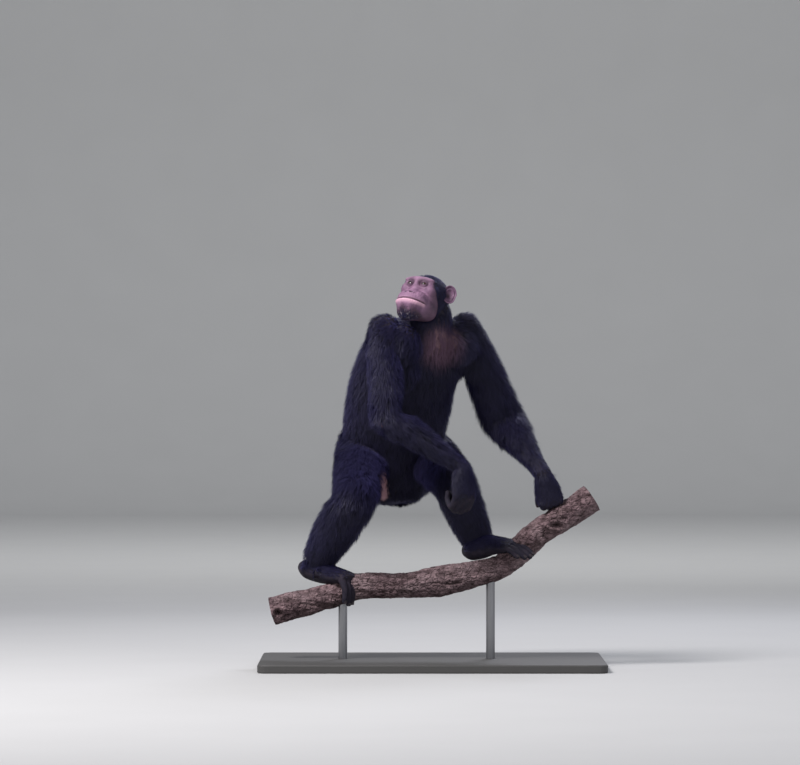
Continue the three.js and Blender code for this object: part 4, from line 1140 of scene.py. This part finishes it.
# %% Coat of hands and feet
for number, (name, forms) in enumerate(EXTREMITIES.items()):
    points, polygons = limb_parts[name]
    palm, form = np.array(PALM_WAYS[name]), forms[0]
    facing = normals_of(points, polygons)
    u, a, ratio = form.nearest(points)
    on_back = ease(0.1, -0.45, facing @ unit(palm)) * ease(1.02, 0.75, u) * ease(1.35, 1.15, ratio)
    on_back *= ease(0.03, 0.12, u)
    corners, weights = scatter(points, polygons, 0.15 * on_back, 60 + number)
    roots, root_normals = blend(points), unit(blend(facing))
    u, a, _ = form.nearest(roots)
    uv = np.stack([a / (2 * math.pi) + 0.5, np.clip(u, 0, 1)], 1)
    fade = ease(1.0, 0.1, u)
    tufts(f"coat_{name}", roots, root_normals, form.pick(form.along, u), 11 + 16 * fade,
          2 + 3 * fade, 0.5 + 0.4 * fade, uv, 0.6 + 0 * fade, 0 * fade, 0 * fade, 4,
          70 + number, wild=0.25, spread=1.5)
print("coat triangles", sum(n for _, n in COAT_PIECES), COAT_PIECES[-5:])

# %% [markdown]
# ## The perch and the stand
#
# The perch is a cut length of a rough branch with knots, sawn square at both ends. A bump in the
# material alone would leave its outline smooth, so the larger plates, cracks, knots and hollows
# move the points of one fine tube, and the material adds the rest.

# %% Bark relief
BRANCH = [  # x, y, z, radius
    (-470, 12, 164, 43), (-417, 8, 178, 42), (-344, 2, 196, 38), (-285, 0, 214, 39),
    (-226, -4, 236, 41), (-138, -8, 239, 38), (-76, -4, 240, 37), (23, 4, 252, 46),
    (115, 6, 270, 41), (200, 0, 294, 36), (262, -6, 348, 42), (315, -8, 396, 40),
    (379, -2, 436, 41), (470, 8, 496, 43),
]
KNOTS = [(-424, -34, 196, 19), (44, -42, 246, 15), (372, -34, 452, 17)]
HOLLOWS = [(364, -40, 418, 20, 9), (-452, -36, 160, 13, 10)]  # centre, half width, half height
branch = Form([(x, y, z, r, r, 0) for x, y, z, r in BRANCH], (0, 1, 0))
rings, sides = 460, 132
u = np.linspace(0, 1, rings)[:, None]
plain = branch.at(u, circle(sides)[None]).reshape(-1, 3)
outward = unit(plain - np.repeat(branch.pick(branch.centre, u[:, 0]), sides, 0))
stretch = np.stack([plain[:, 0] * 0.3, plain[:, 1], plain[:, 2]], 1)
rough = fractal(stretch, 16.0, 4)
crack = np.abs(fractal(stretch + 500, 11.0, 2))
relief = 3.4 * rough - 3.2 * bump(crack, 0.07) - 1.6
# The pit mask is painted shade for the cracks and low spots, and below for the knots and hollows.
pit = np.clip(bump(crack, 0.09) * 0.8 + ease(0.1, -0.6, rough) * 0.5, 0, 1)
for x, y, z, radius in KNOTS:
    far = np.linalg.norm(plain - [x, y, z], axis=1)
    relief += radius * 0.5 * bump(far, radius * 1.3) - radius * 0.55 * bump(far, radius * 0.45)
    pit = np.maximum(pit, bump(far, radius * 0.6))
for x, y, z, wide, high in HOLLOWS:
    far = np.linalg.norm((plain - [x, y, z]) / [wide, 30, high], axis=1)
    relief += 7 * bump(far - 1.3, 0.5) - 16 * bump(far, 0.8)
    pit = np.maximum(pit, bump(far, 1.0))
print("relief", round(float(relief.min()), 1), "to", round(float(relief.max()), 1), "mm")

# %% Perch and stand
points = (plain + outward * relief[:, None]).reshape(rings, sides, 3)
start, end = branch.centre[0], branch.centre[-1]
ends = [start + (points[0] - start) * k for k in (0.35, 0.7)]
far_ends = [end + (points[-1] - end) * k for k in (0.7, 0.35)]
grid = np.concatenate([[ends[0], ends[1]], points, far_ends])
perch_points, perch_polygons = closed_grid(grid, start, end)
mesh = make_mesh("perch", perch_points * MM, perch_polygons)
cut = np.zeros(len(perch_points))
cut[:2 * sides] = cut[-2 * sides - 2:] = 1
painted_pit_shade = np.concatenate([np.zeros(2 * sides), pit, np.zeros(2 * sides + 2)])
add_values(mesh, pit=painted_pit_shade, cut=cut)
perch = add_object("perch.bark", mesh, bark.material)
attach(perch, "root")
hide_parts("perch")

for name, finish in (("stand_base", base), ("stand_rod_1", rod), ("stand_rod_2", rod)):
    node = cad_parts[name]
    node.data.materials.clear()
    node.data.materials.append(finish.material)
print("perch", len(perch_points))

# %% [markdown]
# ## Floor, light and camera
#
# A plain pale floor curves up into a backdrop, as a sheet of paper does in a studio, so that no
# line crosses behind the model. It rises farther off than the camera ever stands, and hides the
# model from no side. The light is soft and mostly from above, with a lamp of its own for the
# backdrop, and a long lens level with the chest looks along +Y.

# %% Stage
def backdrop():
    half, near, far, radius, high = 12.0, -16.0, 16.0, 3.0, 12.0
    bend = np.linspace(0, math.pi / 2, 24)
    y = np.concatenate([[near], far + radius * np.sin(bend), [far + radius]])
    z = np.concatenate([[0], radius * (1 - np.cos(bend)), [high]])
    points = np.array([[x, b, c] for b, c in zip(y, z) for x in (-half, half)])
    return make_mesh("floor", points, [grid_quads(len(y), 2)])


paper = Surface("paper", Roughness=0.9)
paper.set(Base_Color=paper.noise(3, 1).mix((0.47, 0.47, 0.465), (0.49, 0.49, 0.485)))
floor = add_object("floor", backdrop(), paper.material)


def area_light(name, place, aim, size, power, colour=(1, 1, 1)):
    lamp = bpy.data.lights.new(name, "AREA")
    lamp.shape, lamp.size, lamp.energy, lamp.color = "DISK", size, power, colour
    made = bpy.data.objects.new(name, lamp)
    bpy.context.scene.collection.objects.link(made)
    made.location = place
    made.rotation_euler = (Vector(aim) - Vector(place)).to_track_quat("-Z", "Y").to_euler()


area_light("key", (-2.6, -2.4, 4.4), (0, 0, 0.8), 1.8, 340, (1.0, 0.97, 0.98))
area_light("fill", (3.4, -4.2, 2.0), (0, 0, 0.7), 3.0, 30, (0.92, 0.94, 1.0))
area_light("rim", (1.2, 3.2, 3.2), (0, 0, 0.9), 1.6, 70, (0.88, 0.9, 1.0))
area_light("wash", (0, 6, 7), (0, 17, 3), 5.0, 480)
print("lamps", len(bpy.data.lights))

# %% World and camera
world = bpy.data.worlds.new("studio")
world.use_nodes = True
world.node_tree.nodes["Background"].inputs[0].default_value = (0.9, 0.93, 1.0, 1)
world.node_tree.nodes["Background"].inputs[1].default_value = 0.42
scene = bpy.context.scene
scene.world = world
scene.view_settings.view_transform = "Standard"

camera_data = bpy.data.cameras.new("camera")
camera_data.sensor_width, camera_data.lens = 36, 214.3
camera_data.clip_end = 60
camera = bpy.data.objects.new("camera", camera_data)
scene.collection.objects.link(camera)
camera.location = (-0.094, -14.0, 0.836)
camera.rotation_euler = (math.pi / 2, 0, 0)
scene.camera = camera
